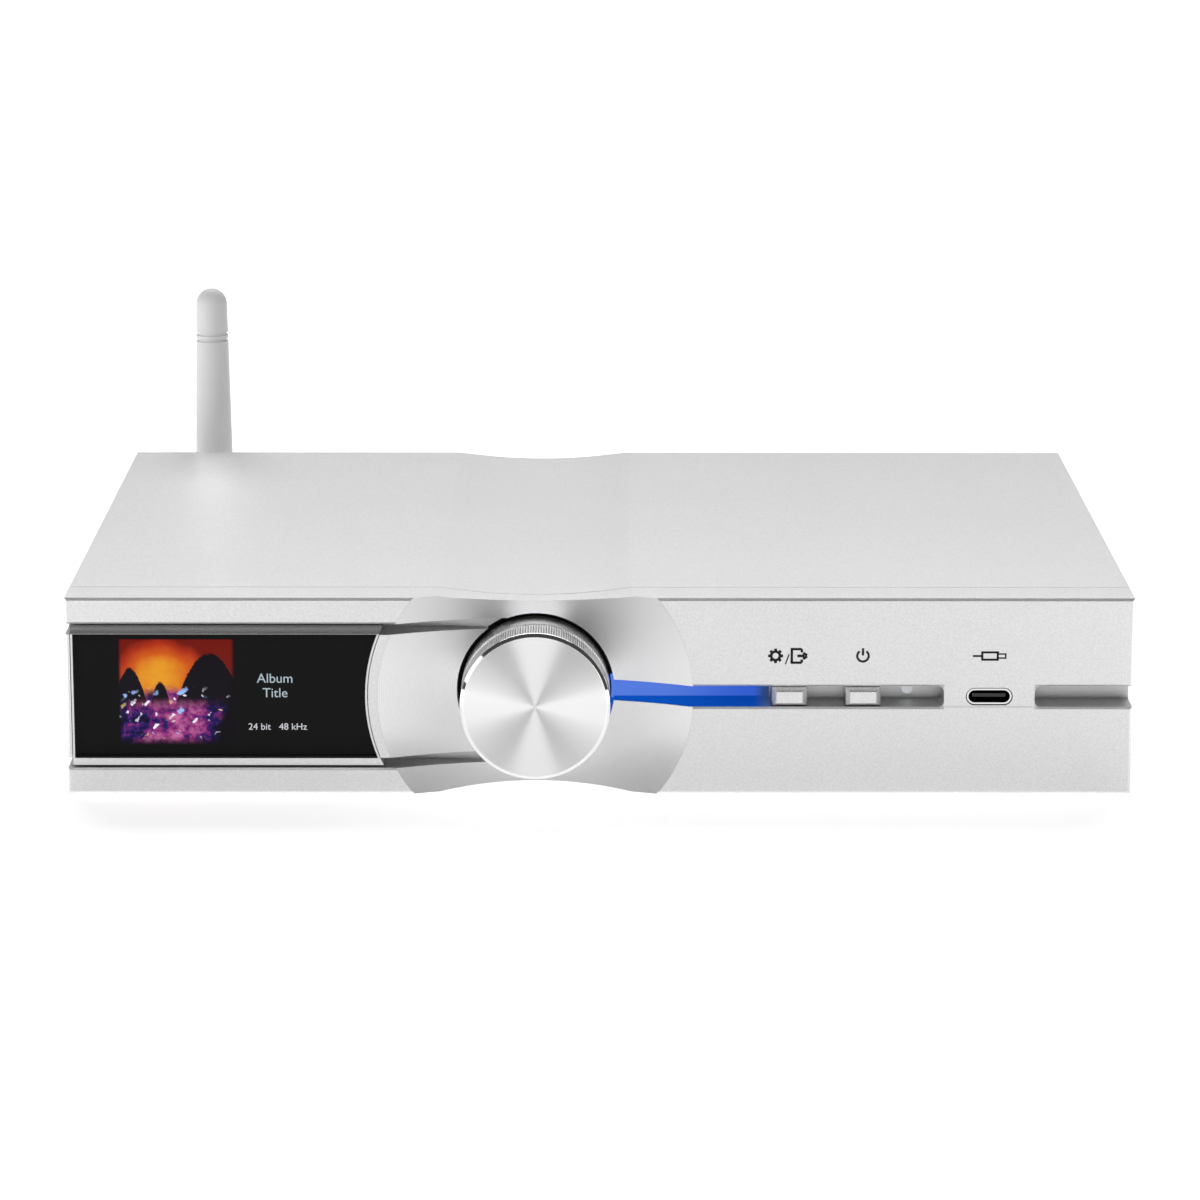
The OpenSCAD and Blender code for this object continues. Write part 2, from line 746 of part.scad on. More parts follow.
// The whip stands up from two round ears on the hinge pin
module aerial_whip() {
    foot_h = 6;
    straight = aerial_len - aerial_r2;
    ring_w = 0.7;
    color("lightgray") placed() at(aerial_x, aerial_y) difference() {
        union() {
            cylinder(r = aerial_r1, h = foot_h);
            translate([0, 0, foot_h])
                cylinder(r1 = aerial_r1, r2 = aerial_r2, h = straight - foot_h);
            translate([0, 0, straight]) sphere(r = aerial_r2);
            intersection() {
                translate([-5, 0, 0]) rotate([0, 90, 0]) cylinder(r = aerial_r1, h = 10);
                translate([0, 0, -aerial_r1]) cylinder(r = aerial_r1, h = 2 * aerial_r1);
            }
        }
        // the slot between the ears
        block([-1.65, -10, -10], [1.65, 10, 4.4]);
        translate([-10, 0, 0]) rotate([0, 90, 0]) cylinder(r = hinge_pin_r + 0.04, h = 20);
        // two decorative rings near the tip
        for (below = [10.5, 11.9]) translate([0, 0, aerial_len - below - ring_w / 2]) difference() {
            cylinder(r = 10, h = ring_w);
            cylinder(r = aerial_r2 - 0.25, h = big, center = true);
        }
    }
}

front_panel();
body_sleeve();
rear_panel();
case_bolts();
rubber_feet();
display_frame();
display_glass();
display_module();
display_cable();
volume_knob();
encoder_shaft();
encoder_plunger();
encoder_body();
encoder_nut();
settings_button();
power_button();
settings_switch();
power_switch();
status_light_lens();
light_guide();
light_guide_led();
usb_c_shell();
usb_c_tongue();
front_board();
front_ribbon_cable();
main_board();
processor();
heat_sink();
audio_shield_can();
output_relays();
power_coil();
capacitors();
wifi_module();
wifi_lead();
power_inlet();
power_inlet_pin();
ethernet_jack();
usb_a_shells();
usb_a_tongues();
optical_output();
optical_shutter();
optical_shutter_pin();
coaxial_output();
coaxial_insulator();
line_outputs();
line_insulators();
balanced_output();
aerial_socket();
aerial_nut();
aerial_collar();
aerial_knuckle();
aerial_pin();
aerial_whip();
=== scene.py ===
"""Looks of a slim aluminium audio player: turned dish and knob, display, lit groove, sockets and aerial.

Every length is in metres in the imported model's frame: +X right, +Y to the rear, +Z up.
"""
import sys
import logging
import math
from dataclasses import dataclass, field
from enum import Enum, IntEnum

import bmesh
import bpy
from mathutils import Matrix, Vector

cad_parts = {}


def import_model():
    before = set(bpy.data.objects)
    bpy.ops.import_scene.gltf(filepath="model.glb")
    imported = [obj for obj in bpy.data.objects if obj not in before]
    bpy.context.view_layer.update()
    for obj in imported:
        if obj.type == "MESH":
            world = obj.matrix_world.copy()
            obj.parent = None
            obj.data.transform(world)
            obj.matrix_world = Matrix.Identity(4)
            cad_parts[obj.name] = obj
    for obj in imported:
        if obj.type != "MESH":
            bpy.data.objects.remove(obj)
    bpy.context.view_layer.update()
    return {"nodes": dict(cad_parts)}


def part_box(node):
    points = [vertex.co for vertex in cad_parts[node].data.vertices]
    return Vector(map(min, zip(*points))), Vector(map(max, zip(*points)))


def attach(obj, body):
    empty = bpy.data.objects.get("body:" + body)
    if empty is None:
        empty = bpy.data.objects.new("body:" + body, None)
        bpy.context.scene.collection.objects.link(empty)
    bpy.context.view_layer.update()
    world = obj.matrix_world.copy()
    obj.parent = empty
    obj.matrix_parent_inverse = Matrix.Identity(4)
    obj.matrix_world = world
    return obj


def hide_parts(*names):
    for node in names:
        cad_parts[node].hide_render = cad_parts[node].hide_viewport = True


MM = 0.001
log = logging.getLogger("player")

Colour = tuple[float, float, float]


# ---------------------------------------------------------------------------------------------
# Shader maths
# ---------------------------------------------------------------------------------------------


class Signal:
    """A value in a finish's node tree, on which Python's arithmetic works."""

    def __init__(self, bench: "Bench", socket: bpy.types.NodeSocket) -> None:
        """Wraps one output socket."""
        self.bench = bench
        self.socket = socket

    def _math(self, operation: str, *terms: "Signal | float") -> "Signal":
        """Adds a Math node.

        Args:
            operation: The Math node's operation.
            terms: What goes into its inputs, in order.

        Returns:
            The node's result.
        """
        node = self.bench.node("ShaderNodeMath", {"operation": operation}, dict(enumerate(terms)))
        return Signal(self.bench, node.outputs[0])

    def __add__(self, other: "Signal | float") -> "Signal":
        """Sum."""
        return self._math("ADD", self, other)

    def __radd__(self, other: float) -> "Signal":
        """Sum with a plain number first."""
        return self._math("ADD", other, self)

    def __sub__(self, other: "Signal | float") -> "Signal":
        """Difference."""
        return self._math("SUBTRACT", self, other)

    def __rsub__(self, other: float) -> "Signal":
        """Difference from a plain number."""
        return self._math("SUBTRACT", other, self)

    def __mul__(self, other: "Signal | float") -> "Signal":
        """Product."""
        return self._math("MULTIPLY", self, other)

    def __rmul__(self, other: float) -> "Signal":
        """Product with a plain number first."""
        return self._math("MULTIPLY", other, self)

    def __truediv__(self, other: "Signal | float") -> "Signal":
        """Quotient."""
        return self._math("DIVIDE", self, other)

    def __rtruediv__(self, other: float) -> "Signal":
        """Quotient of a plain number."""
        return self._math("DIVIDE", other, self)

    def __pow__(self, other: "Signal | float") -> "Signal":
        """Power."""
        return self._math("POWER", self, other)

    def sine(self) -> "Signal":
        """Sine of the value in radians."""
        return self._math("SINE", self)

    def size(self) -> "Signal":
        """The value without its sign."""
        return self._math("ABSOLUTE", self)

    def most(self, other: "Signal | float") -> "Signal":
        """The larger of two values."""
        return self._math("MAXIMUM", self, other)

    def rise(self, low: float, high: float) -> "Signal":
        """Goes smoothly from 0 at low to 1 at high.

        Args:
            low: Where the result leaves 0.
            high: Where the result reaches 1; it may lie below low.

        Returns:
            The eased value.
        """
        node = self.bench.node("ShaderNodeMapRange", {"interpolation_type": "SMOOTHSTEP"},
                               {"Value": self, "From Min": low, "From Max": high})
        return Signal(self.bench, node.outputs[0])


class Bench:
    """Builds the node tree of one material."""

    def __init__(self, name: str) -> None:
        """Starts an empty material of that name."""
        self.material = bpy.data.materials.new(name)
        self.material.use_nodes = True
        self.tree = self.material.node_tree
        self.tree.nodes.clear()

    def node(self, kind: str, settings: dict | None = None, inputs: dict | None = None) -> bpy.types.Node:
        """Adds a node.

        Args:
            kind: The node's type.
            settings: Its properties, and "stops" for a colour ramp, set before the inputs.
            inputs: What each input socket, by name or place, is set or linked to.

        Returns:
            The new node.
        """
        node = self.tree.nodes.new(kind)
        for key, value in (settings or {}).items():
            if key == "stops":
                self._fill_ramp(node.color_ramp, value)
            else:
                setattr(node, key, value)
        for key, value in (inputs or {}).items():
            source = value.socket if isinstance(value, Signal) else value
            if isinstance(source, bpy.types.NodeSocket):
                self.tree.links.new(source, node.inputs[key])
            else:
                node.inputs[key].default_value = source
        return node

    @staticmethod
    def _fill_ramp(ramp: bpy.types.ColorRamp, stops: list[tuple[float, Colour]]) -> None:
        """Gives a colour ramp its stops.

        Args:
            ramp: The ramp, which starts with two stops.
            stops: Each stop's place from 0 to 1 and its colour.
        """
        while len(ramp.elements) < len(stops):
            ramp.elements.new(1.0)
        for element, (place, colour) in zip(ramp.elements, stops):
            element.position = place
            element.color = (*colour, 1.0)

    def place(self, centre: Vector = Vector((0, 0, 0)), scale: Colour = (1, 1, 1)) -> bpy.types.NodeSocket:
        """Object coordinates measured from a centre.

        Args:
            centre: The point that becomes the origin.
            scale: What each axis is multiplied by.

        Returns:
            The vector socket.
        """
        coordinates = self.node("ShaderNodeTexCoord")
        shift = tuple(-centre[i] * scale[i] for i in range(3))
        mapping = self.node("ShaderNodeMapping", {"vector_type": "POINT"},
                            {"Vector": coordinates.outputs["Object"], "Location": shift, "Scale": scale})
        return mapping.outputs[0]

    def parts(self, vector: bpy.types.NodeSocket) -> tuple[Signal, Signal, Signal]:
        """The X, Y and Z of a vector."""
        node = self.node("ShaderNodeSeparateXYZ", None, {0: vector})
        return tuple(Signal(self, out) for out in node.outputs)

    def length(self, vector: bpy.types.NodeSocket) -> Signal:
        """How long a vector is."""
        node = self.node("ShaderNodeVectorMath", {"operation": "LENGTH"}, {0: vector})
        return Signal(self, node.outputs["Value"])

    def noise(self, vector: bpy.types.NodeSocket, grain: float, detail: float = 2.0,
              rough: float = 0.5) -> Signal:
        """Cloudy noise.

        Args:
            vector: Where it is read.
            grain: The width of its grains.
            detail: How many finer layers it has.
            rough: How strong the finer layers are.

        Returns:
            A value about 0.5.
        """
        node = self.node("ShaderNodeTexNoise", None, {"Vector": vector, "Scale": 1 / grain,
                                                      "Detail": detail, "Roughness": rough})
        return Signal(self, node.outputs["Fac"])

    def cells(self, vector: bpy.types.NodeSocket, grain: float) -> tuple[Signal, bpy.types.NodeSocket]:
        """Scattered cells.

        Args:
            vector: Where they are read.
            grain: The cells' spacing.

        Returns:
            The distance from the nearest cell's point, in cells, and that cell's own colour.
        """
        node = self.node("ShaderNodeTexVoronoi", None, {"Vector": vector, "Scale": 1 / grain})
        return Signal(self, node.outputs["Distance"]), node.outputs["Color"]

    def ramp(self, value: Signal, stops: list[tuple[float, Colour]]) -> bpy.types.NodeSocket:
        """Colours along a value from 0 to 1."""
        return self.node("ShaderNodeValToRGB", {"stops": stops}, {0: value}).outputs[0]

    def blend(self, factor: Signal | float, first: object, second: object,
              way: str = "MIX") -> bpy.types.NodeSocket:
        """Mixes two colours.

        Args:
            factor: How much of the second colour shows.
            first: A colour or a colour socket.
            second: A colour or a colour socket.
            way: The Mix node's blend type.

        Returns:
            The mixed colour.
        """
        ends = [(*c, 1.0) if isinstance(c, tuple) else c for c in (first, second)]
        node = self.node("ShaderNodeMix", {"data_type": "RGBA", "blend_type": way},
                         {0: factor, 6: ends[0], 7: ends[1]})
        return node.outputs[2]

    def tinted(self, tone: Signal, tint: Colour) -> bpy.types.NodeSocket:
        """A grey tone multiplied by a colour."""
        return self.blend(1.0, tone.socket, tint, "MULTIPLY")

    def bump(self, height: Signal, depth: float) -> bpy.types.NodeSocket:
        """A normal raised by a height from 0 to 1, over that depth in metres."""
        return self.node("ShaderNodeBump", None, {"Strength": 1.0, "Distance": depth,
                                                  "Height": height}).outputs[0]

    def surface(self, **inputs: object) -> bpy.types.NodeSocket:
        """Adds a Principled shader.

        Args:
            inputs: What its inputs are set or linked to, by name, with underscores for spaces.

        Returns:
            The shader socket.
        """
        named = {}
        for key, value in inputs.items():
            label = {"Specular": "Specular IOR Level"}.get(key, key.replace("_", " "))
            named[label] = (*value, 1.0) if isinstance(value, tuple) and len(value) == 3 else value
        return self.node("ShaderNodeBsdfPrincipled", None, named).outputs[0]

    def done(self, shader: bpy.types.NodeSocket) -> bpy.types.Material:
        """Puts the shader on the material and gives the material back."""
        self.node("ShaderNodeOutputMaterial", None, {"Surface": shader})
        return self.material


# ---------------------------------------------------------------------------------------------
# Finishes
# ---------------------------------------------------------------------------------------------


@dataclass(frozen=True)
class BlastedAluminium:
    """Fine grit-blasted and clear anodised aluminium."""

    name: str = "blasted_aluminium"
    tone: float = 0.77
    roughness: float = 0.44
    grain: float = 0.34 * MM
    speckle: float = 0.34
    relief: float = 0.03 * MM

    def make(self) -> bpy.types.Material:
        """Returns the material."""
        bench = Bench(self.name)
        here = bench.place()
        grit = bench.noise(here, self.grain, 3.0, 0.6)
        return bench.done(bench.surface(
            Base_Color=bench.tinted(self._grey(bench, here, grit), (1.0, 1.0, 1.005)), Metallic=1.0,
            Roughness=self.roughness + (grit - 0.5) * 0.2,
            Normal=bench.bump(grit, self.relief)))

    def _grey(self, bench: Bench, here: bpy.types.NodeSocket, grit: Signal) -> Signal:
        """The grey under the grit's speckle, with a faint broad cloud.

        Args:
            bench: Where the material is made.
            here: The place on the piece.
            grit: The blasting's own grain.

        Returns:
            The tone.
        """
        cloud = bench.noise(here, 35 * MM, 2.0)
        return self.tone + (grit - 0.5) * self.speckle + (cloud - 0.5) * 0.03


@dataclass(frozen=True, kw_only=True)
class GroovedAluminium(BlastedAluminium):
    """The front panel's blasted aluminium, with painted shade that darkens it inside its grooves."""

    front_y: float
    middle_z: float
    name: str = "grooved_aluminium"
    painted_groove_shade: float = 0.17
    shade_from: float = 0.3 * MM
    shade_full: float = 2.2 * MM
    groove_reach: float = 15.6 * MM
    reach_edge: float = 0.3 * MM

    def _grey(self, bench: Bench, here: bpy.types.NodeSocket, grit: Signal) -> Signal:
        """The blasted grey, with painted shade that darkens it in the grooves.

        Args:
            bench: Where the material is made.
            here: The place on the piece.
            grit: The blasting's own grain.

        Returns:
            The tone.
        """
        _, y, z = bench.parts(here)
        # painted shade: the grey is darkened deep inside the grooves
        deep = (y - self.front_y).rise(self.shade_from, self.shade_full)
        within = (z - self.middle_z).size().rise(self.groove_reach, self.groove_reach - self.reach_edge)
        return super()._grey(bench, here, grit) * (1.0 - deep * within * self.painted_groove_shade)


@dataclass(frozen=True, kw_only=True)
class FrameAluminium(BlastedAluminium):
    """The display frame's coarse blasted aluminium, with painted shade that darkens its upper rail."""

    middle_z: float
    name: str = "frame_aluminium"
    tone: float = 0.68
    shaded_upper_tone: float = 0.34
    roughness: float = 0.34
    grain: float = 0.3 * MM
    speckle: float = 0.4
    rail_from: float = 12.6 * MM
    rail_to: float = 12.9 * MM

    def _grey(self, bench: Bench, here: bpy.types.NodeSocket, grit: Signal) -> Signal:
        """The grey of the lower rail, which changes to the upper rail's darker painted shade.

        Args:
            bench: Where the material is made.
            here: The place on the piece.
            grit: The blasting's own grain.

        Returns:
            The tone.
        """
        _, _, z = bench.parts(here)
        # painted shade: the upper rail is drawn darker than the lower one
        shaded_rail = (z - self.middle_z).rise(self.rail_from, self.rail_to)
        return self.tone - shaded_rail * (self.tone - self.shaded_upper_tone) + (grit - 0.5) * self.speckle


@dataclass(frozen=True)
class TurnedAluminium:
    """A face cut on a lathe, with rings about an axis along Y."""

    name: str
    axis: Vector
    tone: float = 1.0
    roughness: float = 0.44
    stretch: float = 1.0
    pitch: float = 0.44 * MM
    relief: float = 0.003 * MM
    ring_tone: float = 0.08
    line_tone: float = 0.09

    def make(self) -> bpy.types.Material:
        """Returns the material."""
        bench = Bench(self.name)
        spread = bench.length(bench.place(self.axis, (1, 0, 1)))
        wave = (spread * (math.tau / self.pitch)).sine() * 0.5 + 0.5
        rings = bench.noise(bench.node("ShaderNodeCombineXYZ", None, {0: spread}).outputs[0],
                            0.5 * MM, 4.0, 0.7)
        tone = self.tone + (rings - 0.5) * self.ring_tone - wave * self.line_tone
        tangent = bench.node("ShaderNodeTangent", {"direction_type": "RADIAL", "axis": "Y"})
        return bench.done(bench.surface(
            Base_Color=bench.tinted(tone, (1.0, 1.0, 1.0)), Metallic=1.0,
            Roughness=self.roughness + (rings - 0.5) * 0.12, Anisotropic=self.stretch,
            Anisotropic_Rotation=0.25, Tangent=tangent.outputs[0],
            Normal=bench.bump(wave * 0.6 + rings * 0.4, self.relief)))


@dataclass(frozen=True)
class Metal:
    """A bare or plated metal with faint handling marks."""

    name: str
    colour: Colour
    roughness: float = 0.25
    grain: float = 2 * MM
    relief: float = 0.002 * MM
    wear: float = 0.12

    def make(self) -> bpy.types.Material:
        """Returns the material."""
        bench = Bench(self.name)
        here = bench.place()
        fine = bench.noise(here, self.grain, 4.0, 0.6)
        marks = bench.noise(here, self.grain * 6, 3.0, 0.6)
        tone = 1.0 + (marks - 0.5) * self.wear
        return bench.done(bench.surface(
            Base_Color=bench.tinted(tone, self.colour), Metallic=1.0,
            Roughness=self.roughness + (marks - 0.5) * self.wear + (fine - 0.5) * 0.06,
            Normal=bench.bump(fine, self.relief)))


@dataclass(frozen=True)
class SocketShell:
    """Bright plated steel, with painted shade that turns its inside near black behind its rim."""

    face_y: float
    name: str = "front_socket_steel"
    rim: float = 1.1 * MM

    def make(self) -> bpy.types.Material:
        """Returns the material."""
        bench = Bench(self.name)
        here = bench.place()
        _, y, _ = bench.parts(here)
        marks = bench.noise(here, 1.5 * MM, 3.0)
        # painted shade: past the rim the steel goes near black
        inside = (y - self.face_y).rise(self.rim * 0.5, self.rim)
        return bench.done(bench.surface(
            Base_Color=bench.blend(inside, (0.74, 0.73, 0.72), (0.02, 0.02, 0.02)), Metallic=1.0,
            Roughness=0.16 + marks * 0.08 + inside * 0.3))


@dataclass(frozen=True)
class Moulded:
    """Moulded plastic, rubber or ferrite with a fine spark-eroded grain."""

    name: str
    colour: Colour
    roughness: float = 0.5
    grain: float = 0.4 * MM
    relief: float = 0.01 * MM
    shine: float = 0.5

    def make(self) -> bpy.types.Material:
        """Returns the material."""
        bench = Bench(self.name)
        here = bench.place()
        grain = bench.noise(here, self.grain, 3.0, 0.6)
        cloud = bench.noise(here, self.grain * 30, 2.0)
        tone = 1.0 + (grain - 0.5) * 0.14 + (cloud - 0.5) * 0.08
        return bench.done(bench.surface(
            Base_Color=bench.tinted(tone, self.colour), Specular=self.shine,
            Roughness=self.roughness + (grain - 0.5) * 0.15,
            Normal=bench.bump(grain, self.relief)))


@dataclass(frozen=True)
class CircuitBoard:
    """Green solder mask over copper tracks, with tinned pads."""

    name: str = "circuit_board"
    pitch: float = 2.4 * MM
    cross_pitch: float = 5.52 * MM

    def make(self) -> bpy.types.Material:
        """Returns the material."""
        bench = Bench(self.name)
        here = bench.place()
        near, _ = bench.cells(here, self.pitch)
        x, y, _ = bench.parts(here)
        tracks = (x * (math.tau / self.pitch)).sine() * (y * (math.tau / self.cross_pitch)).sine()
        track = tracks.rise(0.25, 0.35)
        pad = near.rise(0.16, 0.13)
        mask = bench.blend(track, (0.012, 0.09, 0.04), (0.03, 0.2, 0.09))
        return bench.done(bench.surface(
            Base_Color=bench.blend(pad, mask, (0.7, 0.68, 0.62)), Metallic=pad,
            Roughness=0.35 + pad * 0.1, Normal=bench.bump(track * 0.5 + pad * 0.5, 0.03 * MM)))


@dataclass(frozen=True)
class DarkGlass:
    """Black display cover with an anti-glare coat."""

    name: str = "display_glass"

    def make(self) -> bpy.types.Material:
        """Returns the material."""
        bench = Bench(self.name)
        smear = bench.noise(bench.place(), 9 * MM, 3.0)
        return bench.done(bench.surface(
            Base_Color=bench.blend(smear, (0.0055, 0.0055, 0.006), (0.0085, 0.0075, 0.008)),
            Roughness=0.1 + smear * 0.08, Specular=0.06))


@dataclass(frozen=True)
class BlueGlow:
    """The light guide in the groove, lit from its rear wall and fading towards the buttons."""

    floor_z: float
    fade_from: float
    fade_to: float
    dish_edge_x: float
    name: str = "blue_light_guide"
    wall_from: float = 0.35 * MM
    wall_full: float = 0.75 * MM

    def make(self) -> bpy.types.Material:
        """Returns the material."""
        bench = Bench(self.name)
        x, _, z = bench.parts(bench.place())
        wall = (z - self.floor_z).rise(self.wall_from, self.wall_full)
        far = x.rise(self.dish_edge_x, self.fade_from)
        wall_colour = bench.blend(far, (0.09, 0.19, 0.68), (0.035, 0.11, 0.58))
        floor_colour = bench.blend(far, (0.001, 0.07, 0.44), (0.001, 0.05, 0.34))
        lit = bench.blend(wall, floor_colour, wall_colour)
        fade = x.rise(self.fade_from, self.fade_to)
        grain = bench.noise(bench.place(), 3 * MM, 2.0)
        return bench.done(bench.surface(
            Base_Color=bench.blend(fade, (0.003, 0.02, 0.09), (0.05, 0.07, 0.12)),
            Roughness=0.6 + grain * 0.1, Specular=0.02,
            Emission_Color=bench.blend(fade, lit, (0.02, 0.05, 0.16)), Emission_Strength=1.0))


@dataclass(frozen=True)
class Lit:
    """Something that gives off its own light, a little uneven."""

    name: str
    colour: Colour
    strength: float = 1.0

    def make(self) -> bpy.types.Material:
        """Returns the material."""
        bench = Bench(self.name)
        cloud = bench.noise(bench.place(), 1.2 * MM, 2.0)
        return bench.done(bench.surface(
            Base_Color=(0.02, 0.02, 0.02), Roughness=0.5, Specular=0.1,
            Emission_Color=bench.tinted(0.9 + cloud * 0.2, self.colour), Emission_Strength=self.strength))


@dataclass(frozen=True)
class CoverPicture:
    """An abstract picture on the display: a warm glow over dark hills and violet sparks."""

    low: Vector
    high: Vector
    name: str = "display_picture"

    def make(self) -> bpy.types.Material:
        """Returns the material."""
        bench = Bench(self.name)
        size = self.high - self.low
        here = bench.place(self.low, (1 / size.x, 0, 1 / size.z))
        u, _, v = bench.parts(here)
        wisps = bench.noise(here, 0.30, 4.0, 0.6)
        dusk = self._dusk(bench, u, v, wisps)
        picture = bench.blend((v + (wisps - 0.5) * 0.4).rise(0.54, 0.40), dusk,
                              self._meadow(bench, here, u))
        picture = bench.blend(self._hills(bench, here, u, v), picture, (0.005, 0.003, 0.007))
        for colour, grain, keep, top in (((0.95, 0.90, 1.0), 0.050, 0.50, 0.56),
                                         ((0.35, 0.55, 1.0), 0.078, 0.56, 0.60),
                                         ((1.0, 0.72, 0.25), 0.064, 0.60, 0.46)):
            picture = bench.blend(self._sparks(bench, here, v, grain, keep, top), picture, colour)
        edge = u.rise(0.0, 0.035) * u.rise(1.0, 0.96) * v.rise(0.0, 0.10) * v.rise(1.0, 0.985)
        corner = (u + (1.0 - v) * 0.25 + (wisps - 0.5) * 0.25).rise(1.12, 1.02)
        picture = bench.blend(edge * corner, (0.003, 0.002, 0.004), picture)
        return bench.done(bench.surface(Base_Color=(0.004, 0.004, 0.004), Roughness=0.3, Specular=0.06,
                                        Emission_Color=picture, Emission_Strength=1.0))

    @staticmethod
    def _dusk(bench: Bench, u: Signal, v: Signal, wisps: Signal) -> bpy.types.NodeSocket:
        """A red sky that glows orange about its middle.

        Args:
            bench: Where the material is made.
            u: How far across the picture, from 0 to 1.
            v: How far up the picture, from 0 to 1.
            wisps: The noise that breaks up the glow.

        Returns:
            The colour.
        """
        across, up = u - 0.36, v - 0.62
        glow = 1.0 - (across * across * 4.2 + up * up * 4.6) + (wisps - 0.5) * 0.5
        return bench.ramp(glow, [(0.25, (0.16, 0.008, 0.004)), (0.50, (0.42, 0.03, 0.008)),
                                 (0.75, (0.62, 0.10, 0.010)), (1.0, (0.80, 0.33, 0.02))])

    @staticmethod
    def _meadow(bench: Bench, here: bpy.types.NodeSocket, u: Signal) -> bpy.types.NodeSocket:
        """Violet and pink mist with dark blue gaps, pinkest at the middle.

        Args:
            bench: Where the material is made.
            here: The place on the picture, from 0 to 1 each way.
            u: How far across the picture, from 0 to 1.

        Returns:
            The colour.
        """
        mist = bench.noise(here, 0.15, 5.0, 0.68)
        middle = (u - 0.5).size().rise(0.5, 0.05) * 0.14
        return bench.ramp(mist + middle - 0.03, [
            (0.42, (0.003, 0.002, 0.015)), (0.50, (0.02, 0.008, 0.12)),
            (0.58, (0.22, 0.02, 0.16)), (0.72, (0.55, 0.14, 0.34))])

    @staticmethod
    def _sparks(bench: Bench, here: bpy.types.NodeSocket, v: Signal, grain: float, keep: float,
                top: float) -> Signal:
        """Scattered bright flecks below a height.

        Args:
            bench: Where the material is made.
            here: The place on the picture, from 0 to 1 each way.
            v: How far up the picture, from 0 to 1.
            grain: The flecks' spacing.
            keep: How bright a fleck's own noise must be for it to show.
            top: The height that they stay below.

        Returns:
            The mask.
        """
        drift = bench.noise(here, 0.09, 2.0)
        shift = bench.node("ShaderNodeCombineXYZ", None, {0: drift, 2: drift}).outputs[0]
        bent = bench.blend(0.12, here, shift)
        near, own = bench.cells(bent, grain)
        chosen = bench.noise(own, 0.3, 1.0).rise(keep - 0.03, keep + 0.03)
        return near.rise(0.34, 0.16) * chosen * v.rise(top, top - 0.12) * v.rise(0.03, 0.10)

    @staticmethod
    def _hills(bench: Bench, here: bpy.types.NodeSocket, u: Signal, v: Signal) -> Signal:
        """Dark wooded hills of different sizes with ragged tops.

        Args:
            bench: Where the material is made.
            here: The place on the picture, from 0 to 1 each way.
            u: How far across the picture, from 0 to 1.
            v: How far up the picture, from 0 to 1.

        Returns:
            The mask.
        """
        ragged = (bench.noise(here, 0.05, 4.0, 0.7) - 0.5) * 0.10
        mask = None
        for centre, width, top in ((0.78, 0.17, 0.86), (0.10, 0.10, 0.72), (0.36, 0.07, 0.60),
                                   (0.98, 0.10, 0.62)):
            hump = ((u - centre) / width) ** 2.0
            inside = (top + ragged - hump * 0.16 - v).rise(-0.012, 0.012) * v.rise(0.30, 0.46)
            mask = inside if mask is None else mask.most(inside)
        return mask


@dataclass(frozen=True)
class PaperFloor:
    """Seamless white studio paper that glows evenly, with painted light that makes it brighter at its sides
    and far edge.
    """

    name: str = "studio_paper"
    glow: float = 0.58
    painted_side_light: float = 0.6
    side_from: float = 0.13
    side_full: float = 0.2
    painted_far_light: float = 0.85
    far_from: float = 0.6
    far_full: float = 1.6

    def make(self) -> bpy.types.Material:
        """Returns the material."""
        bench = Bench(self.name)
        here = bench.place()
        tooth = bench.noise(here, 3 * MM, 2.0)
        x, y, _ = bench.parts(here)
        # painted light: a brighter glow at the sides and towards the far edge
        sides = x.size().rise(self.side_from, self.side_full) * self.painted_side_light
        behind = y.rise(self.far_from, self.far_full) * self.painted_far_light
        return bench.done(bench.surface(
            Base_Color=bench.tinted(0.93 + tooth * 0.02, (1, 1, 1)), Roughness=0.95, Specular=0.0,
            Emission_Color=bench.tinted(self.glow + sides.most(behind), (1, 1, 1)),
            Emission_Strength=1.0))


# ---------------------------------------------------------------------------------------------
# Making and placing pieces
# ---------------------------------------------------------------------------------------------


class Body(Enum):
    """The moving bodies that a piece can ride on."""

    PLAYER = "player"
    KNOB = "knob"
    SETTINGS_KEY = "settings_key"
    POWER_KEY = "power_key"
    AERIAL_BASE = "aerial_base"
    AERIAL = "aerial"


@dataclass
class Shop:
    """Makes pieces from bmeshes, dresses CAD nodes and keeps one material per finish."""

    nodes: dict[str, bpy.types.Object]
    materials: dict[str, bpy.types.Material] = field(default_factory=dict)

    def material(self, finish: object) -> bpy.types.Material:
        """The material of a finish, made once."""
        if finish.name not in self.materials:
            self.materials[finish.name] = finish.make()
        return self.materials[finish.name]

    def dress(self, finish: object, *names: str) -> None:
        """Gives CAD nodes their finish.

        Args:
            finish: The finish.
            names: The nodes that get it.
        """
        for name in names:
            for slot in self.nodes[name].material_slots:
                slot.material = self.material(finish)
            log.info("dressed %s in %s", name, finish.name)

    def piece(self, name: str, mesh: bpy.types.Mesh, finishes: list, body: Body, slot: str,
              smooth_angle: float = 30.0) -> bpy.types.Object:
        """Makes a mesh a piece of the object.

        Args:
            name: The piece's name.
            mesh: Its mesh, in place.
            finishes: Its finishes, in the order of the mesh's material numbers.
            body: The body that it rides on.
            slot: Not used.
            smooth_angle: Edges sharper than this, in degrees, stay sharp.

        Returns:
            The new object.
        """
        for finish in finishes:
            mesh.materials.append(self.material(finish))
        mesh.shade_smooth()
        mesh.set_sharp_from_angle(angle=math.radians(smooth_angle))
        made = bpy.data.objects.new(name, mesh)
        bpy.context.scene.collection.objects.link(made)
        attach(made, body.value)
        log.info("made %s with %d faces", name, len(mesh.polygons))
        return made


def to_mesh(bm: bmesh.types.BMesh, name: str) -> bpy.types.Mesh:
    """Turns a bmesh into a mesh with its faces outwards, and frees it.

    Args:
        bm: The shape.
        name: The mesh's name.

    Returns:
        The mesh.
    """
    bmesh.ops.recalc_face_normals(bm, faces=bm.faces)
    mesh = bpy.data.meshes.new(name)
    bm.to_mesh(mesh)
    bm.free()
    return mesh


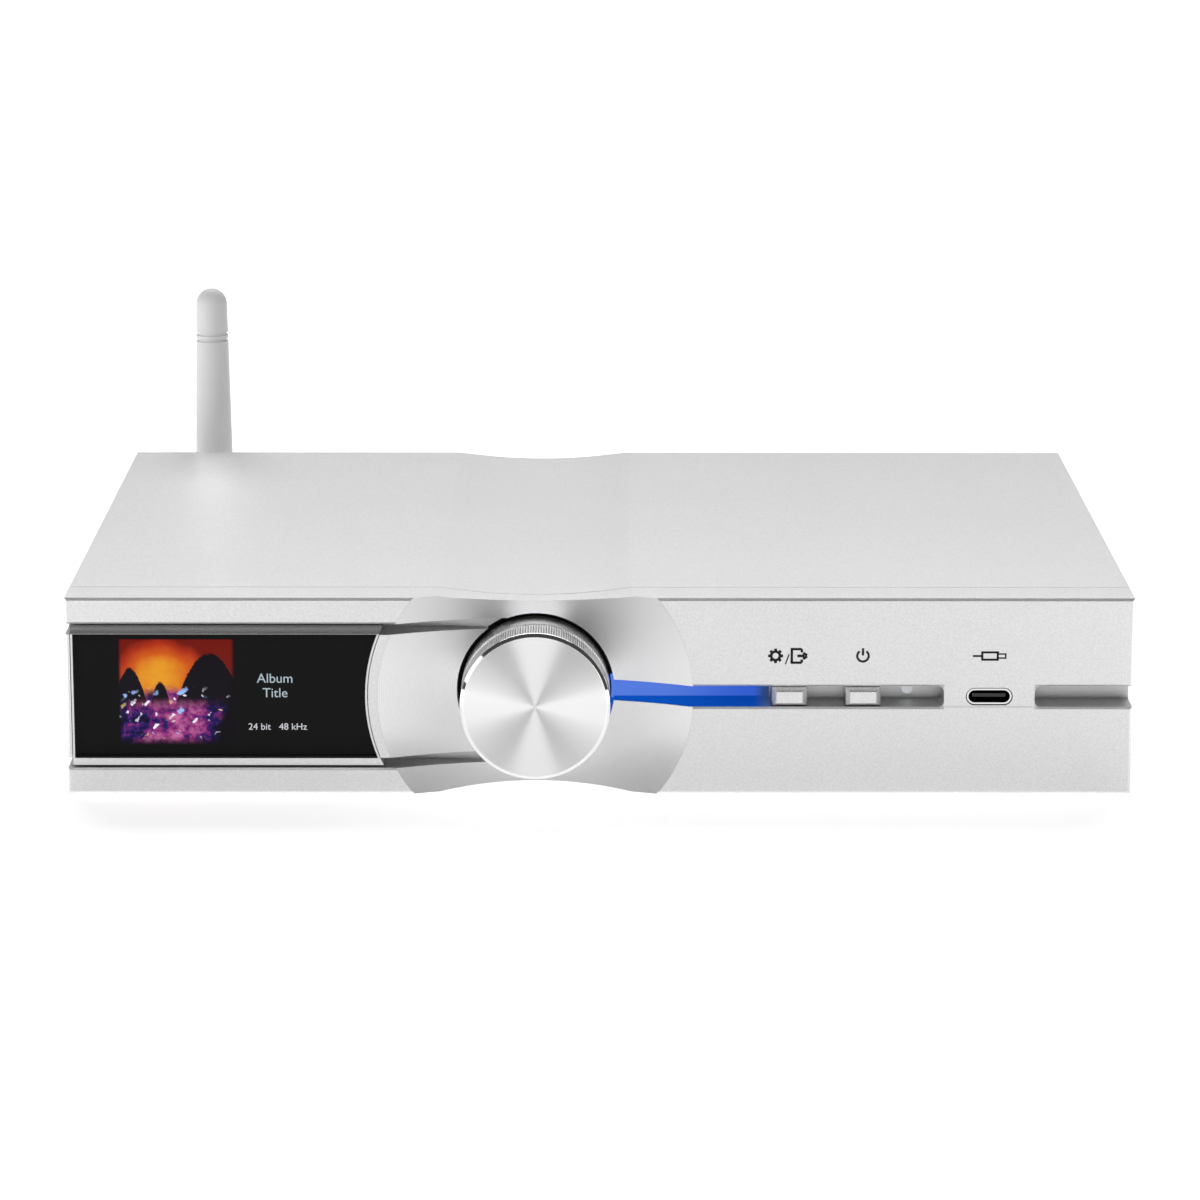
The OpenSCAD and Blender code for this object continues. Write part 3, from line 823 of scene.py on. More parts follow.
def add_block(bm: bmesh.types.BMesh, low: Vector, high: Vector, round_by: float = 0.0,
              segments: int = 2) -> None:
    """Adds a block with rounded edges.

    Args:
        bm: Where it goes.
        low: Its lowest corner.
        high: Its highest corner.
        round_by: The radius of its edges, or 0.
        segments: How many faces go round an edge.
    """
    made = bmesh.ops.create_cube(bm, size=1.0)["verts"]
    size, middle = high - low, (high + low) / 2
    bmesh.ops.scale(bm, vec=size, verts=made)
    bmesh.ops.translate(bm, vec=middle, verts=made)
    if round_by > 0:
        edges = {edge for vert in made for edge in vert.link_edges}
        bmesh.ops.bevel(bm, geom=list(edges), offset=round_by, affect="EDGES", segments=segments,
                        profile=0.5, material=-1)


def add_turned(bm: bmesh.types.BMesh, profile: list[tuple[float, float]], centre: Vector,
               steps: int, tags: list[int] | None = None) -> list[list[bmesh.types.BMVert]]:
    """Turns a profile about an axis along Y.

    Args:
        bm: Where it goes.
        profile: The [radius, y] points, y measured from the centre.
        centre: A point on the axis.
        steps: How many steps go round.
        tags: The material number of each stretch between two points.

    Returns:
        The vertices that belong to each point of the profile.
    """
    before = set(bm.verts)
    chain = [bm.verts.new(centre + Vector((r, y, 0))) for r, y in profile]
    edges = [bm.edges.new(pair) for pair in zip(chain, chain[1:])]
    bmesh.ops.spin(bm, geom=chain + edges, cent=centre, axis=(0, 1, 0), dvec=(0, 0, 0),
                   angle=math.tau, steps=steps, use_merge=True, use_duplicate=False)
    made = [vert for vert in bm.verts if vert not in before]
    owner = {}
    for vert in made:
        off = vert.co - centre
        r = math.hypot(off.x, off.z)
        owner[vert] = min(range(len(profile)),
                          key=lambda i: abs(profile[i][0] - r) + abs(profile[i][1] - off.y))
    if tags:
        for face in {f for v in made for f in v.link_faces}:
            face.material_index = tags[min(owner[v] for v in face.verts)]
    rings = [[] for _ in profile]
    for vert, i in owner.items():
        rings[i].append(vert)
    bmesh.ops.remove_doubles(bm, verts=made, dist=1e-6)
    return [[v for v in ring if v.is_valid] for ring in rings]


def carve(mesh: bpy.types.Mesh, cutter: bpy.types.Mesh, operation: str) -> bpy.types.Mesh:
    """Cuts one closed mesh by another.

    Args:
        mesh: The mesh that is cut.
        cutter: The mesh that cuts it, removed afterwards.
        operation: INTERSECT, DIFFERENCE or UNION.

    Returns:
        The new mesh.
    """
    work, tool = (bpy.data.objects.new("carving", m) for m in (mesh, cutter))
    for each in (work, tool):
        bpy.context.scene.collection.objects.link(each)
    modifier = work.modifiers.new("cut", "BOOLEAN")
    modifier.operation = operation
    modifier.solver = "EXACT"
    modifier.object = tool
    depsgraph = bpy.context.evaluated_depsgraph_get()
    result = bpy.data.meshes.new_from_object(work.evaluated_get(depsgraph))
    for each in (work, tool):
        bpy.data.objects.remove(each)
    for old in (mesh, cutter):
        bpy.data.meshes.remove(old)
    return result


# ---------------------------------------------------------------------------------------------
# Sub-assemblies
# ---------------------------------------------------------------------------------------------


@dataclass
class Case:
    """Front panel, sleeve, rear panel, bolts and feet."""

    shop: Shop

    def build(self) -> None:
        """Dresses the case's own nodes."""
        low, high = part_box("front_panel")
        self.shop.dress(GroovedAluminium(front_y=low.y, middle_z=(low.z + high.z) / 2), "front_panel")
        self.shop.dress(BlastedAluminium(), "body_sleeve", "rear_panel")
        self.shop.dress(Metal("dark_steel", (0.10, 0.10, 0.105), 0.35), "case_bolts")
        self.shop.dress(Moulded("foot_rubber", (0.025, 0.025, 0.025), 0.8, 0.6 * MM, 0.03 * MM, 0.3),
                        "rubber_feet")


@dataclass
class TurnedDish:
    """The lathe-cut skin of the dish around the knob."""

    shop: Shop
    dish_r: float = 31.8 * MM
    sphere_r: float = 72 * MM
    proud: float = 0.06 * MM
    thickness: float = 0.25 * MM
    hole_r: float = 15.95 * MM
    groove_half: float = 2.15 * MM
    slot_low: float = 12.7 * MM
    slot_high: float = 14.9 * MM
    slot_reach: float = 4 * MM
    scoop_w: float = 38.6 * MM
    scoop_drop: float = 1.5 * MM
    scoop_steps: int = 28
    cut_ahead: float = 5 * MM
    cut_depth: float = 20 * MM
    cut_aside: float = 60 * MM
    radial_steps: int = 36
    round_steps: int = 300

    def build(self, axis: Vector, front_y: float) -> bpy.types.Object:
        """Makes the skin.

        Args:
            axis: A point on the knob's axis.
            front_y: Where the front face of the case lies.

        Returns:
            The piece.
        """
        low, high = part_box("front_panel")
        centre = Vector((axis.x, front_y, axis.z))
        mesh = carve(self._bowl(centre), self._case_outline(centre, low.z, high.z), "INTERSECT")
        mesh = carve(mesh, self._grooves(centre), "DIFFERENCE")
        mesh.use_auto_texspace = False
        mesh.texspace_location = centre
        mesh.texspace_size = (self.dish_r, self.dish_r, self.dish_r)
        finish = TurnedAluminium("turned_dish", centre)
        return self.shop.piece("turned_dish", mesh, [finish], Body.PLAYER, "turned_aluminium", 25.0)

    def _bowl(self, centre: Vector) -> bpy.types.Mesh:
        """The whole bowl-shaped skin before it is cut.

        Args:
            centre: Where the knob's axis meets the front face.

        Returns:
            The closed shell.
        """
        ball_y = -math.sqrt(self.sphere_r ** 2 - self.dish_r ** 2)
        front_r = self.sphere_r - self.proud
        rim_r = math.sqrt(front_r ** 2 - ball_y ** 2)
        profile = []
        for i in range(self.radial_steps + 1):
            r = self.hole_r + (rim_r - self.hole_r) * i / self.radial_steps
            profile.append((r, ball_y + math.sqrt(front_r ** 2 - r ** 2)))
        profile += [(r, y + self.thickness) for r, y in reversed(profile)]
        profile.append(profile[0])
        bm = bmesh.new()
        add_turned(bm, profile, centre, self.round_steps)
        return to_mesh(bm, "bowl")

    def _case_outline(self, centre: Vector, low_z: float, high_z: float) -> bpy.types.Mesh:
        """The case's cross-section, with its two scoops, as a thick cutter.

        Args:
            centre: Where the knob's axis meets the front face.
            low_z: The height of the case's underside.
            high_z: The height of its top.

        Returns:
            The cutter.
        """
        half = self.scoop_w / 2
        scoop_r = (half ** 2 + self.scoop_drop ** 2) / (2 * self.scoop_drop)
        top = []
        for i in range(self.scoop_steps + 1):
            x = -half + 2 * half * i / self.scoop_steps
            top.append((x, high_z - (math.sqrt(scoop_r ** 2 - x ** 2) - (scoop_r - self.scoop_drop))))
        wide = 1.4 * self.dish_r
        upper = [(-wide, high_z), *top, (wide, high_z)]
        outline = upper + [(x, low_z + high_z - z) for x, z in reversed(upper)]
        bm = bmesh.new()
        front = [bm.verts.new((centre.x + x, centre.y - self.cut_ahead, z)) for x, z in outline]
        face = bm.faces.new(front)
        moved = bmesh.ops.extrude_face_region(bm, geom=[face])["geom"]
        bmesh.ops.translate(bm, vec=(0, self.cut_depth, 0),
                            verts=[v for v in moved if isinstance(v, bmesh.types.BMVert)])
        return to_mesh(bm, "case_outline")

    def _grooves(self, centre: Vector) -> bpy.types.Mesh:
        """The button groove and the two slots, as cutters.

        Args:
            centre: Where the knob's axis meets the front face.

        Returns:
            The cutters in one mesh.
        """
        bm = bmesh.new()
        far, near_y, deep_y = self.cut_aside, centre.y - self.cut_ahead, centre.y + self.cut_depth
        add_block(bm, Vector((centre.x, near_y, centre.z - self.groove_half)),
                  Vector((centre.x + far, deep_y, centre.z + self.groove_half)))
        for side in (-1, 1):
            inner, outer = sorted((side * self.slot_low, side * self.slot_high))
            add_block(bm, Vector((centre.x - far, near_y, centre.z + inner)),
                      Vector((centre.x - self.slot_reach, deep_y, centre.z + outer)))
        return to_mesh(bm, "grooves")


class KnobPart(IntEnum):
    """The knob's finishes, in the order of its mesh's material numbers."""

    FACE = 0
    CHAMFER = 1
    KNURL = 2
    SATIN = 3
    SHADED_GAP = 4
    SHADED_SKIRT = 5


@dataclass
class VolumeKnob:
    """The push-and-turn knob: turned face, polished chamfer, straight knurl and plain neck."""

    shop: Shop
    face_centre_r: float = 0.5 * MM
    edge: float = 0.12 * MM
    lip: float = 0.05 * MM
    tooth_ramp: float = 0.06 * MM
    chamfer: float = 0.6 * MM
    land_end: float = 0.8 * MM
    knurl_end: float = 8.1 * MM
    ring_end: float = 8.9 * MM
    ring_depth: float = 0.45 * MM
    teeth: int = 180
    steps_per_tooth: int = 4
    tooth_depth: float = 0.25 * MM
    bore_r: float = 12.5 * MM
    skirt_start: float = 15.5 * MM
    washer_y: tuple[float, float] = (8.43 * MM, 8.58 * MM)
    washer_r: tuple[float, float] = (6.5 * MM, 15.85 * MM)
    washer_steps: int = 160

    def build(self) -> bpy.types.Object:
        """Makes the knob and returns it."""
        low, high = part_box("volume_knob")
        centre = Vector(((low.x + high.x) / 2, low.y, (low.z + high.z) / 2))
        r, depth = (high.x - low.x) / 2, high.y - low.y
        front, knurl, back = self._profile(r, depth)
        points = front + knurl + back
        bm = bmesh.new()
        rings = add_turned(bm, [(radius, y) for radius, y, _ in points], centre,
                           self.steps_per_tooth * self.teeth, [part for _, _, part in points])
        crests = [vert for ring in rings[len(front):len(front) + len(knurl)] for vert in ring]
        self._cut_knurl(bm, crests, centre, r)
        mesh = to_mesh(bm, "volume_knob_turned")
        finishes = [
            TurnedAluminium("turned_knob_face", centre, tone=0.95, roughness=0.42, pitch=0.3 * MM,
                            relief=0.0006 * MM, ring_tone=0.04, line_tone=0.02),
            Metal("polished_chamfer", (0.9, 0.9, 0.9), 0.07, 3 * MM, 0.0008 * MM, 0.05),
            Metal("knurled_aluminium", (0.95, 0.95, 0.955), 0.3, 0.5 * MM, 0.003 * MM, 0.1),
            Metal("satin_aluminium", (0.9, 0.9, 0.905), 0.3, 0.6 * MM, 0.002 * MM, 0.08),
            # painted shade: near-black metal in the knurl's valleys
            Metal("knurl_gap_painted_shade", (0.07, 0.07, 0.07), 0.4, 0.6 * MM, 0.002 * MM, 0.1),
            # painted shade: the knob's rear is near black where it sits in the hole
            Moulded("skirt_painted_shade", (0.02, 0.02, 0.02), 0.6, 0.3 * MM, 0.005 * MM, 0.2)]
        knob = self.shop.piece("volume_knob_turned", mesh, finishes, Body.KNOB, "turned_aluminium", 22.0)
        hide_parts("volume_knob")
        self.shop.dress(Metal("plain_steel", (0.55, 0.55, 0.56), 0.3), "encoder_shaft")
        self._shade_washer(centre)
        return knob

    def _profile(self, r: float, depth: float) -> tuple[list, list, list]:
        """The knob's profile, from the middle of its face round to the middle of its bore.

        Args:
            r: The knob's radius.
            depth: Its length from the face to the back.

        Returns:
            The front, the knurl's two ends and the back, each as [radius, distance behind the face,
            part of the stretch that follows].
        """
        edge, lip, groove_r = self.edge, self.lip, r - self.ring_depth
        front = [
            (0.0, 0.0, KnobPart.FACE),
            (self.face_centre_r, 0.0, KnobPart.FACE),
            (r * 0.5, 0.0, KnobPart.FACE),
            (r - self.chamfer - edge, 0.0, KnobPart.CHAMFER),
            (r - self.chamfer, edge * 0.25, KnobPart.CHAMFER),
            (r - edge * 0.4, self.chamfer - edge * 0.4, KnobPart.CHAMFER),
            (r, self.chamfer + edge, KnobPart.SATIN),
            (r, self.land_end, KnobPart.KNURL)]
        knurl = [
            (r, self.land_end + self.tooth_ramp, KnobPart.KNURL),
            (r, self.knurl_end - self.tooth_ramp, KnobPart.KNURL)]
        back = [
            (r, self.knurl_end, KnobPart.SATIN),
            (groove_r, self.knurl_end + lip, KnobPart.SATIN),
            (groove_r, self.ring_end - lip, KnobPart.SATIN),
            (r, self.ring_end, KnobPart.SATIN),
            (r, self.skirt_start, KnobPart.SHADED_SKIRT),
            (r, depth, KnobPart.SATIN),
            (self.bore_r, depth, KnobPart.SATIN),
            (self.bore_r, depth * 0.4, KnobPart.SATIN),
            (0.0, depth * 0.4, KnobPart.SATIN)]
        return front, knurl, back

    def _shade_washer(self, centre: Vector) -> None:
        """Adds a near-black washer at the bottom of the hole that the knob sinks into, as painted shade.

        Args:
            centre: A point on the knob's axis.
        """
        front, back = self.washer_y
        inner, outer = self.washer_r
        bm = bmesh.new()
        place = Vector((centre.x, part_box("front_panel")[0].y, centre.z))
        add_turned(bm, [(inner, front), (outer, front), (outer, back), (inner, back), (inner, front)],
                   place, self.washer_steps)
        # painted shade: a near-black ring where the hole's floor lies in shade
        dark_ring_finish = Moulded("washer_painted_shade", (0.012, 0.012, 0.012), 0.95, 0.3 * MM, 0.05 * MM, 0.1)
        self.shop.piece("shade_washer", to_mesh(bm, "shade_washer"), [dark_ring_finish], Body.PLAYER, "black_plastic")

    def _cut_knurl(self, bm: bmesh.types.BMesh, verts: list, centre: Vector, r: float) -> None:
        """Presses half of each tooth's vertices inwards, which leaves a straight tooth, and gives the fully
        pressed faces the valleys' painted shade.

        Args:
            bm: The knob; not used.
            verts: The vertices at the knurl's two ends.
            centre: A point on the knob's axis.
            r: The knob's radius.
        """
        step = math.tau / (self.steps_per_tooth * self.teeth)
        pressed = set()
        for vert in verts:
            turn = math.atan2(vert.co.z - centre.z, vert.co.x - centre.x)
            if round(turn / step) % self.steps_per_tooth >= self.steps_per_tooth // 2:
                shrink = (r - self.tooth_depth) / r
                vert.co.x = centre.x + (vert.co.x - centre.x) * shrink
                vert.co.z = centre.z + (vert.co.z - centre.z) * shrink
                pressed.add(vert)
        for face in {face for vert in pressed for face in vert.link_faces}:
            if pressed.issuperset(face.verts):
                face.material_index = KnobPart.SHADED_GAP


@dataclass
class Display:
    """The display in its frame: cover glass, a picture and lettering that glow under it."""

    shop: Shop
    picture_x: tuple[float, float] = (-96.7 * MM, -73.2 * MM)
    picture_z: tuple[float, float] = (10.2 * MM, 32.3 * MM)
    title_size: float = 2.75 * MM
    title_x: float = -65.2 * MM
    title_z: tuple[float, float] = (23.2 * MM, 20.2 * MM)
    reading_size: float = 1.95 * MM
    reading_x: float = -64.8 * MM
    reading_z: float = 13.45 * MM
    film: float = 0.02 * MM

    def build(self) -> None:
        """Dresses the frame and the glass and adds what the display shows."""
        frame_low, frame_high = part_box("display_frame")
        self.shop.dress(FrameAluminium(middle_z=(frame_low.z + frame_high.z) / 2), "display_frame")
        self.shop.dress(DarkGlass(), "display_glass")
        self.shop.dress(Metal("dark_metal", (0.06, 0.06, 0.065), 0.45), "display_module")
        face_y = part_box("display_glass")[0].y
        low = Vector((self.picture_x[0], face_y - self.film, self.picture_z[0]))
        high = Vector((self.picture_x[1], face_y + self.film, self.picture_z[1]))
        bm = bmesh.new()
        add_block(bm, low, high, self.film * 0.6)
        self.shop.piece("display_picture", to_mesh(bm, "display_picture"), [CoverPicture(low, high)],
                        Body.PLAYER, "display_glass")
        pale = Lit("display_lettering", (0.42, 0.50, 0.56))
        white = Lit("display_reading", (0.62, 0.64, 0.68))
        first_z, second_z = self.title_z
        lines = (("title_first_line", "Album", self.title_size, self.title_x, first_z, pale),
                 ("title_second_line", "Title", self.title_size, self.title_x, second_z, pale),
                 ("sample_reading", "24 bit   48 kHz", self.reading_size, self.reading_x, self.reading_z,
                  white))
        for name, text, size, x, z, finish in lines:
            mesh = lettering(text, size, Vector((x, face_y - self.film, z)), self.film)
            self.shop.piece(name, mesh, [finish], Body.PLAYER, "display_glass")


def lettering(text: str, size: float, place: Vector, thickness: float) -> bpy.types.Mesh:
    """Letters that face the front, centred on a place.

    Args:
        text: What they say.
        size: Their height with ascenders.
        place: The middle of their base line, on the face that they lie on.
        thickness: How far they stand out.

    Returns:
        Their mesh.
    """
    curve = bpy.data.curves.new("lettering", "FONT")
    curve.body = text
    curve.size = size
    curve.align_x = "CENTER"
    curve.extrude = thickness / 2
    curve.resolution_u = 6
    holder = bpy.data.objects.new("lettering", curve)
    bpy.context.scene.collection.objects.link(holder)
    mesh = bpy.data.meshes.new_from_object(holder.evaluated_get(bpy.context.evaluated_depsgraph_get()))
    bpy.data.objects.remove(holder)
    mesh.transform(Matrix.Translation(place) @ Matrix.Rotation(math.pi / 2, 4, "X"))
    mesh.materials.clear()
    return mesh


class Icon(Enum):
    """The printed marks over the buttons and the data socket."""

    GEAR = "gear"
    STROKE = "stroke"
    OUTPUT = "output"
    POWER = "power"
    PLUG = "plug"


@dataclass
class FrontMarks:
    """Thin printed marks on the front face."""

    shop: Shop
    centre_z: float = 29.25 * MM
    thickness: float = 0.02 * MM
    line: float = 0.5 * MM
    places: dict[Icon, float] = field(default_factory=lambda: {
        Icon.GEAR: 35.2 * MM, Icon.STROKE: 37.55 * MM, Icon.OUTPUT: 39.9 * MM,
        Icon.POWER: 52.7 * MM, Icon.PLUG: 78.1 * MM})

    def build(self, front_y: float) -> None:
        """Makes every mark.

        Args:
            front_y: Where the front face of the case lies.
        """
        ink = Moulded("printed_ink", (0.012, 0.012, 0.012), 0.6, 0.2 * MM, 0.002 * MM, 0.2)
        makers = {Icon.GEAR: self._gear, Icon.STROKE: self._stroke, Icon.OUTPUT: self._output,
                  Icon.POWER: self._power, Icon.PLUG: self._plug}
        for icon, x in self.places.items():
            bm = bmesh.new()
            makers[icon](bm)
            bmesh.ops.translate(bm, vec=(x, front_y - self.thickness / 2, self.centre_z), verts=bm.verts)
            self.shop.piece(f"{icon.value}_mark", to_mesh(bm, icon.value), [ink], Body.PLAYER, "dark_steel")

    def _bar(self, bm: bmesh.types.BMesh, start: tuple[float, float], end: tuple[float, float],
             width: float) -> None:
        """A straight stroke.

        Args:
            bm: Where it goes.
            start: The [x, z] of its start.
            end: The [x, z] of its end.
            width: How wide it is.
        """
        a, b = Vector((start[0], 0, start[1])), Vector((end[0], 0, end[1]))
        along = b - a
        made = bmesh.ops.create_cube(bm, size=1.0)["verts"]
        bmesh.ops.scale(bm, vec=(along.length, self.thickness, width), verts=made)
        bmesh.ops.rotate(bm, cent=(0, 0, 0), verts=made,
                         matrix=Matrix.Rotation(-math.atan2(along.z, along.x), 3, "Y"))
        bmesh.ops.translate(bm, vec=(a + b) / 2, verts=made)

    def _arc(self, bm: bmesh.types.BMesh, inner: float, outer: float, start: float, turn: float,
             steps: int = 40) -> None:
        """A flat ring about the origin, or a stretch of one.

        Args:
            bm: Where it goes.
            inner: Its inner radius.
            outer: Its outer radius.
            start: The angle where it starts, in degrees.
            turn: How far it goes round, in degrees.
            steps: How many faces go round.
        """
        half = self.thickness / 2
        corners = [(inner, -half), (outer, -half), (outer, half), (inner, half)]
        verts = [bm.verts.new((r, y, 0)) for r, y in corners]
        bmesh.ops.rotate(bm, cent=(0, 0, 0), verts=verts,
                         matrix=Matrix.Rotation(-math.radians(start), 3, "Y"))
        edges = [bm.edges.new((verts[i], verts[(i + 1) % 4])) for i in range(4)]
        full = abs(turn) >= 360
        if not full:
            bm.faces.new(verts)
        last = bmesh.ops.spin(bm, geom=verts + edges, cent=(0, 0, 0), axis=(0, -1, 0), dvec=(0, 0, 0),
                              angle=math.radians(turn), steps=steps, use_merge=full,
                              use_duplicate=False)["geom_last"]
        if not full:
            bmesh.ops.contextual_create(bm, geom=[g for g in last if isinstance(g, bmesh.types.BMEdge)])

    def _gear(self, bm: bmesh.types.BMesh) -> None:
        """A ring with teeth round it."""
        teeth, root, tip, width = 8, 1.05 * MM, 1.5 * MM, 0.58 * MM
        self._arc(bm, 0.6 * MM, 1.15 * MM, 0, 360)
        for i in range(teeth):
            turn = math.tau * i / teeth
            x, z = math.cos(turn), math.sin(turn)
            self._bar(bm, (x * root, z * root), (x * tip, z * tip), width)

    def _stroke(self, bm: bmesh.types.BMesh) -> None:
        """A slanting stroke."""
        self._bar(bm, (-0.38 * MM, -1.75 * MM), (0.38 * MM, 0.35 * MM), 0.26 * MM)

    def _output(self, bm: bmesh.types.BMesh) -> None:
        """An open box with an arrow that leaves it."""
        left, right, top = -1.45 * MM, 0.55 * MM, 1.4 * MM
        half = self.line / 2
        self._bar(bm, (left, -top), (left, top), self.line)
        for z in (-top, top):
            self._bar(bm, (left - half, z), (right, z), self.line)
            self._bar(bm, (right, z), (right, z * 0.52), self.line)
        arrow = 0.56 * MM
        self._bar(bm, (-0.35 * MM, 0), (1.1 * MM, 0), arrow)
        for side in (-1, 1):
            self._bar(bm, (1.62 * MM, side * 0.08 * MM), (0.82 * MM, side * 0.62 * MM), arrow)

    def _power(self, bm: bmesh.types.BMesh) -> None:
        """An open ring with a stroke at the top."""
        self._arc(bm, 0.92 * MM, 1.38 * MM, 125, 290)
        self._bar(bm, (0, 0.1 * MM), (0, 1.6 * MM), 0.46 * MM)

    def _plug(self, bm: bmesh.types.BMesh) -> None:
        """A cable plug seen from the side: cable, body and metal tongue."""
        back, front, tip = -1.5 * MM, 1.6 * MM, 3.2 * MM
        body_half, tongue_half = 0.75 * MM, 0.42 * MM
        body_line, tongue_line = 0.44 * MM, 0.3 * MM
        self._bar(bm, (-3.4 * MM, 0), (back, 0), 0.4 * MM)
        for z in (-body_half, body_half):
            self._bar(bm, (back, z), (front, z), body_line)
        for x in (back, front):
            self._bar(bm, (x, -body_half - body_line / 2), (x, body_half + body_line / 2), body_line)
        for z in (-tongue_half, tongue_half):
            self._bar(bm, (front, z), (tip + 0.1 * MM, z), tongue_line)
        self._bar(bm, (tip, -tongue_half - tongue_line / 2), (tip, tongue_half + tongue_line / 2),
                  tongue_line)


@dataclass
class ButtonRow:
    """Buttons, light guide and status light in the right-hand groove."""

    shop: Shop
    groove_half: float = 2.15 * MM
    fade_from: float = 3.4 * MM
    fade_to: float = 0.4 * MM
    dish_edge: float = 24 * MM

    def build(self) -> None:
        """Dresses the row's nodes."""
        cap = BlastedAluminium("button_aluminium", tone=0.68, roughness=0.3, grain=0.3 * MM, speckle=0.4)
        self.shop.dress(cap, "settings_button", "power_button")
        self.shop.dress(Moulded("black_plastic", (0.02, 0.02, 0.02), 0.4), "settings_switch", "power_switch",
                        "encoder_plunger", "usb_c_tongue", "processor", "wifi_lead", "power_inlet",
                        "optical_output")
        end_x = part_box("light_guide")[1].x
        knob_low, knob_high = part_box("volume_knob")
        axis = (knob_low + knob_high) / 2
        self.shop.dress(BlueGlow(axis.z - self.groove_half, end_x - self.fade_from, end_x - self.fade_to,
                                 axis.x + self.dish_edge), "light_guide")
        self.shop.dress(Lit("led_white", (0.9, 0.9, 0.85), 0.5), "light_guide_led")
        self.shop.dress(Lit("clear_lens", (0.62, 0.64, 0.66), 0.8), "status_light_lens")


@dataclass
class FrontSocket:
    """The data socket at the right of the front, with its contacts."""

    shop: Shop
    contacts: int = 12
    pitch: float = 0.5 * MM
    contact_half: Vector = field(default_factory=lambda: Vector((0.13, 1.9, 0.04)) * MM)
    contact_in: float = 2.4 * MM

    def build(self) -> None:
        """Dresses the shell and adds the contacts on both sides of the tongue."""
        self.shop.dress(SocketShell(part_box("usb_c_shell")[0].y), "usb_c_shell")
        self.shop.dress(Metal("bright_steel", (0.72, 0.71, 0.70), 0.16), "power_inlet_pin",
                        "ethernet_jack", "usb_a_shells", "optical_shutter_pin", "aerial_pin")
        low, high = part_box("usb_c_tongue")
        middle = (low + high) / 2
        bm = bmesh.new()
        for z in (low.z, high.z):
            for i in range(self.contacts):
                x = middle.x + (i - (self.contacts - 1) / 2) * self.pitch
                at = Vector((x, low.y + self.contact_in, z))
                add_block(bm, at - self.contact_half, at + self.contact_half, 0.02 * MM, 1)
        # painted shade: the gold contacts deep in the socket are drawn near-black brown
        self.shop.piece("usb_c_contacts", to_mesh(bm, "usb_c_contacts"),
                        [Metal("contact_painted_shade", (0.10, 0.085, 0.075), 0.4)], Body.PLAYER, "gold_plate")


@dataclass
class RearSockets:
    """What the rear panel carries."""

    shop: Shop
    network_pins: int = 8
    network_pitch: float = 1.02 * MM
    network_pin: Vector = field(default_factory=lambda: Vector((0.36, 7.4, 0.3)) * MM)
    network_floor: float = 3.35 * MM
    network_in: float = 8 * MM
    host_pins: tuple[float, ...] = (-3.5 * MM, -1.0 * MM, 1.0 * MM, 3.5 * MM)
    host_pin: Vector = field(default_factory=lambda: Vector((1.0, 6.4, 0.06)) * MM)
    tongue_w: float = 11.2 * MM

    def build(self) -> None:
        """Dresses the sockets and adds their contacts."""
        shop = self.shop
        gilt = Metal("gilt_contact", (0.84, 0.60, 0.24), 0.25)
        shop.piece("network_contacts", to_mesh(self._network_contacts(), "network_contacts"), [gilt],
                   Body.PLAYER, "gold_plate")
        shop.piece("host_contacts", to_mesh(self._host_contacts(), "host_contacts"), [gilt],
                   Body.PLAYER, "gold_plate")
        shop.dress(Metal("gold_plate", (0.86, 0.62, 0.25), 0.2), "coaxial_output", "line_outputs",
                   "balanced_output", "aerial_socket", "aerial_nut")
        shop.dress(Moulded("orange_plastic", (0.75, 0.22, 0.03), 0.4), "coaxial_insulator")
        shop.dress(Moulded("white_plastic", (0.75, 0.75, 0.72), 0.4), "usb_a_tongues", "line_insulators")
        shop.dress(Moulded("shutter_plastic", (0.06, 0.06, 0.065), 0.5), "optical_shutter")

    def _network_contacts(self) -> bmesh.types.BMesh:
        """Eight spring contacts along the floor of the network socket."""
        low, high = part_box("ethernet_jack")
        case_low, case_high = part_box("front_panel")
        floor_z = (case_low.z + case_high.z) / 2 - self.network_floor
        bm = bmesh.new()
        for i in range(self.network_pins):
            x = (low.x + high.x) / 2 + (i - (self.network_pins - 1) / 2) * self.network_pitch
            middle = Vector((x, high.y - self.network_in, floor_z))
            add_block(bm, middle - self.network_pin / 2, middle + self.network_pin / 2, 0.08 * MM, 2)
        return bm

    def _host_contacts(self) -> bmesh.types.BMesh:
        """Four flat contacts under the tongue of each host socket."""
        low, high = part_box("usb_a_tongues")
        bm = bmesh.new()
        for centre_x in (low.x + self.tongue_w / 2, high.x - self.tongue_w / 2):
            for offset in self.host_pins:
                middle = Vector((centre_x + offset, (low.y + high.y) / 2, low.z))
                add_block(bm, middle - self.host_pin / 2, middle + self.host_pin / 2, 0.02 * MM, 1)
        return bm


@dataclass
class Aerial:
    """The whip, its knuckle and its collar."""

    shop: Shop

    def build(self) -> None:
        """Dresses the aerial."""
        self.shop.dress(Moulded("aerial_plastic", (0.78, 0.78, 0.785), 0.5, 0.3 * MM, 0.004 * MM, 0.4),
                        "aerial_collar", "aerial_knuckle", "aerial_whip")


@dataclass
class Interior:
    """Boards and components inside the case."""

    shop: Shop

    def build(self) -> None:
        """Dresses what the case holds."""
        shop = self.shop
        shop.dress(CircuitBoard(), "front_board", "main_board")
        shop.dress(Moulded("flex_cable", (0.55, 0.25, 0.04), 0.35), "display_cable", "front_ribbon_cable")
        shop.dress(Metal("plain_steel", (0.55, 0.55, 0.56), 0.3), "encoder_body", "encoder_nut",
                   "audio_shield_can", "wifi_module")
        shop.dress(BlastedAluminium("sink_aluminium", 0.74, 0.36), "heat_sink")
        shop.dress(Moulded("relay_plastic", (0.7, 0.3, 0.05), 0.25), "output_relays")
        shop.dress(Moulded("ferrite", (0.06, 0.06, 0.06), 0.7), "power_coil")
        shop.dress(Moulded("capacitor_sleeve", (0.06, 0.09, 0.18), 0.25), "capacitors")


# ---------------------------------------------------------------------------------------------
# Studio
# ---------------------------------------------------------------------------------------------


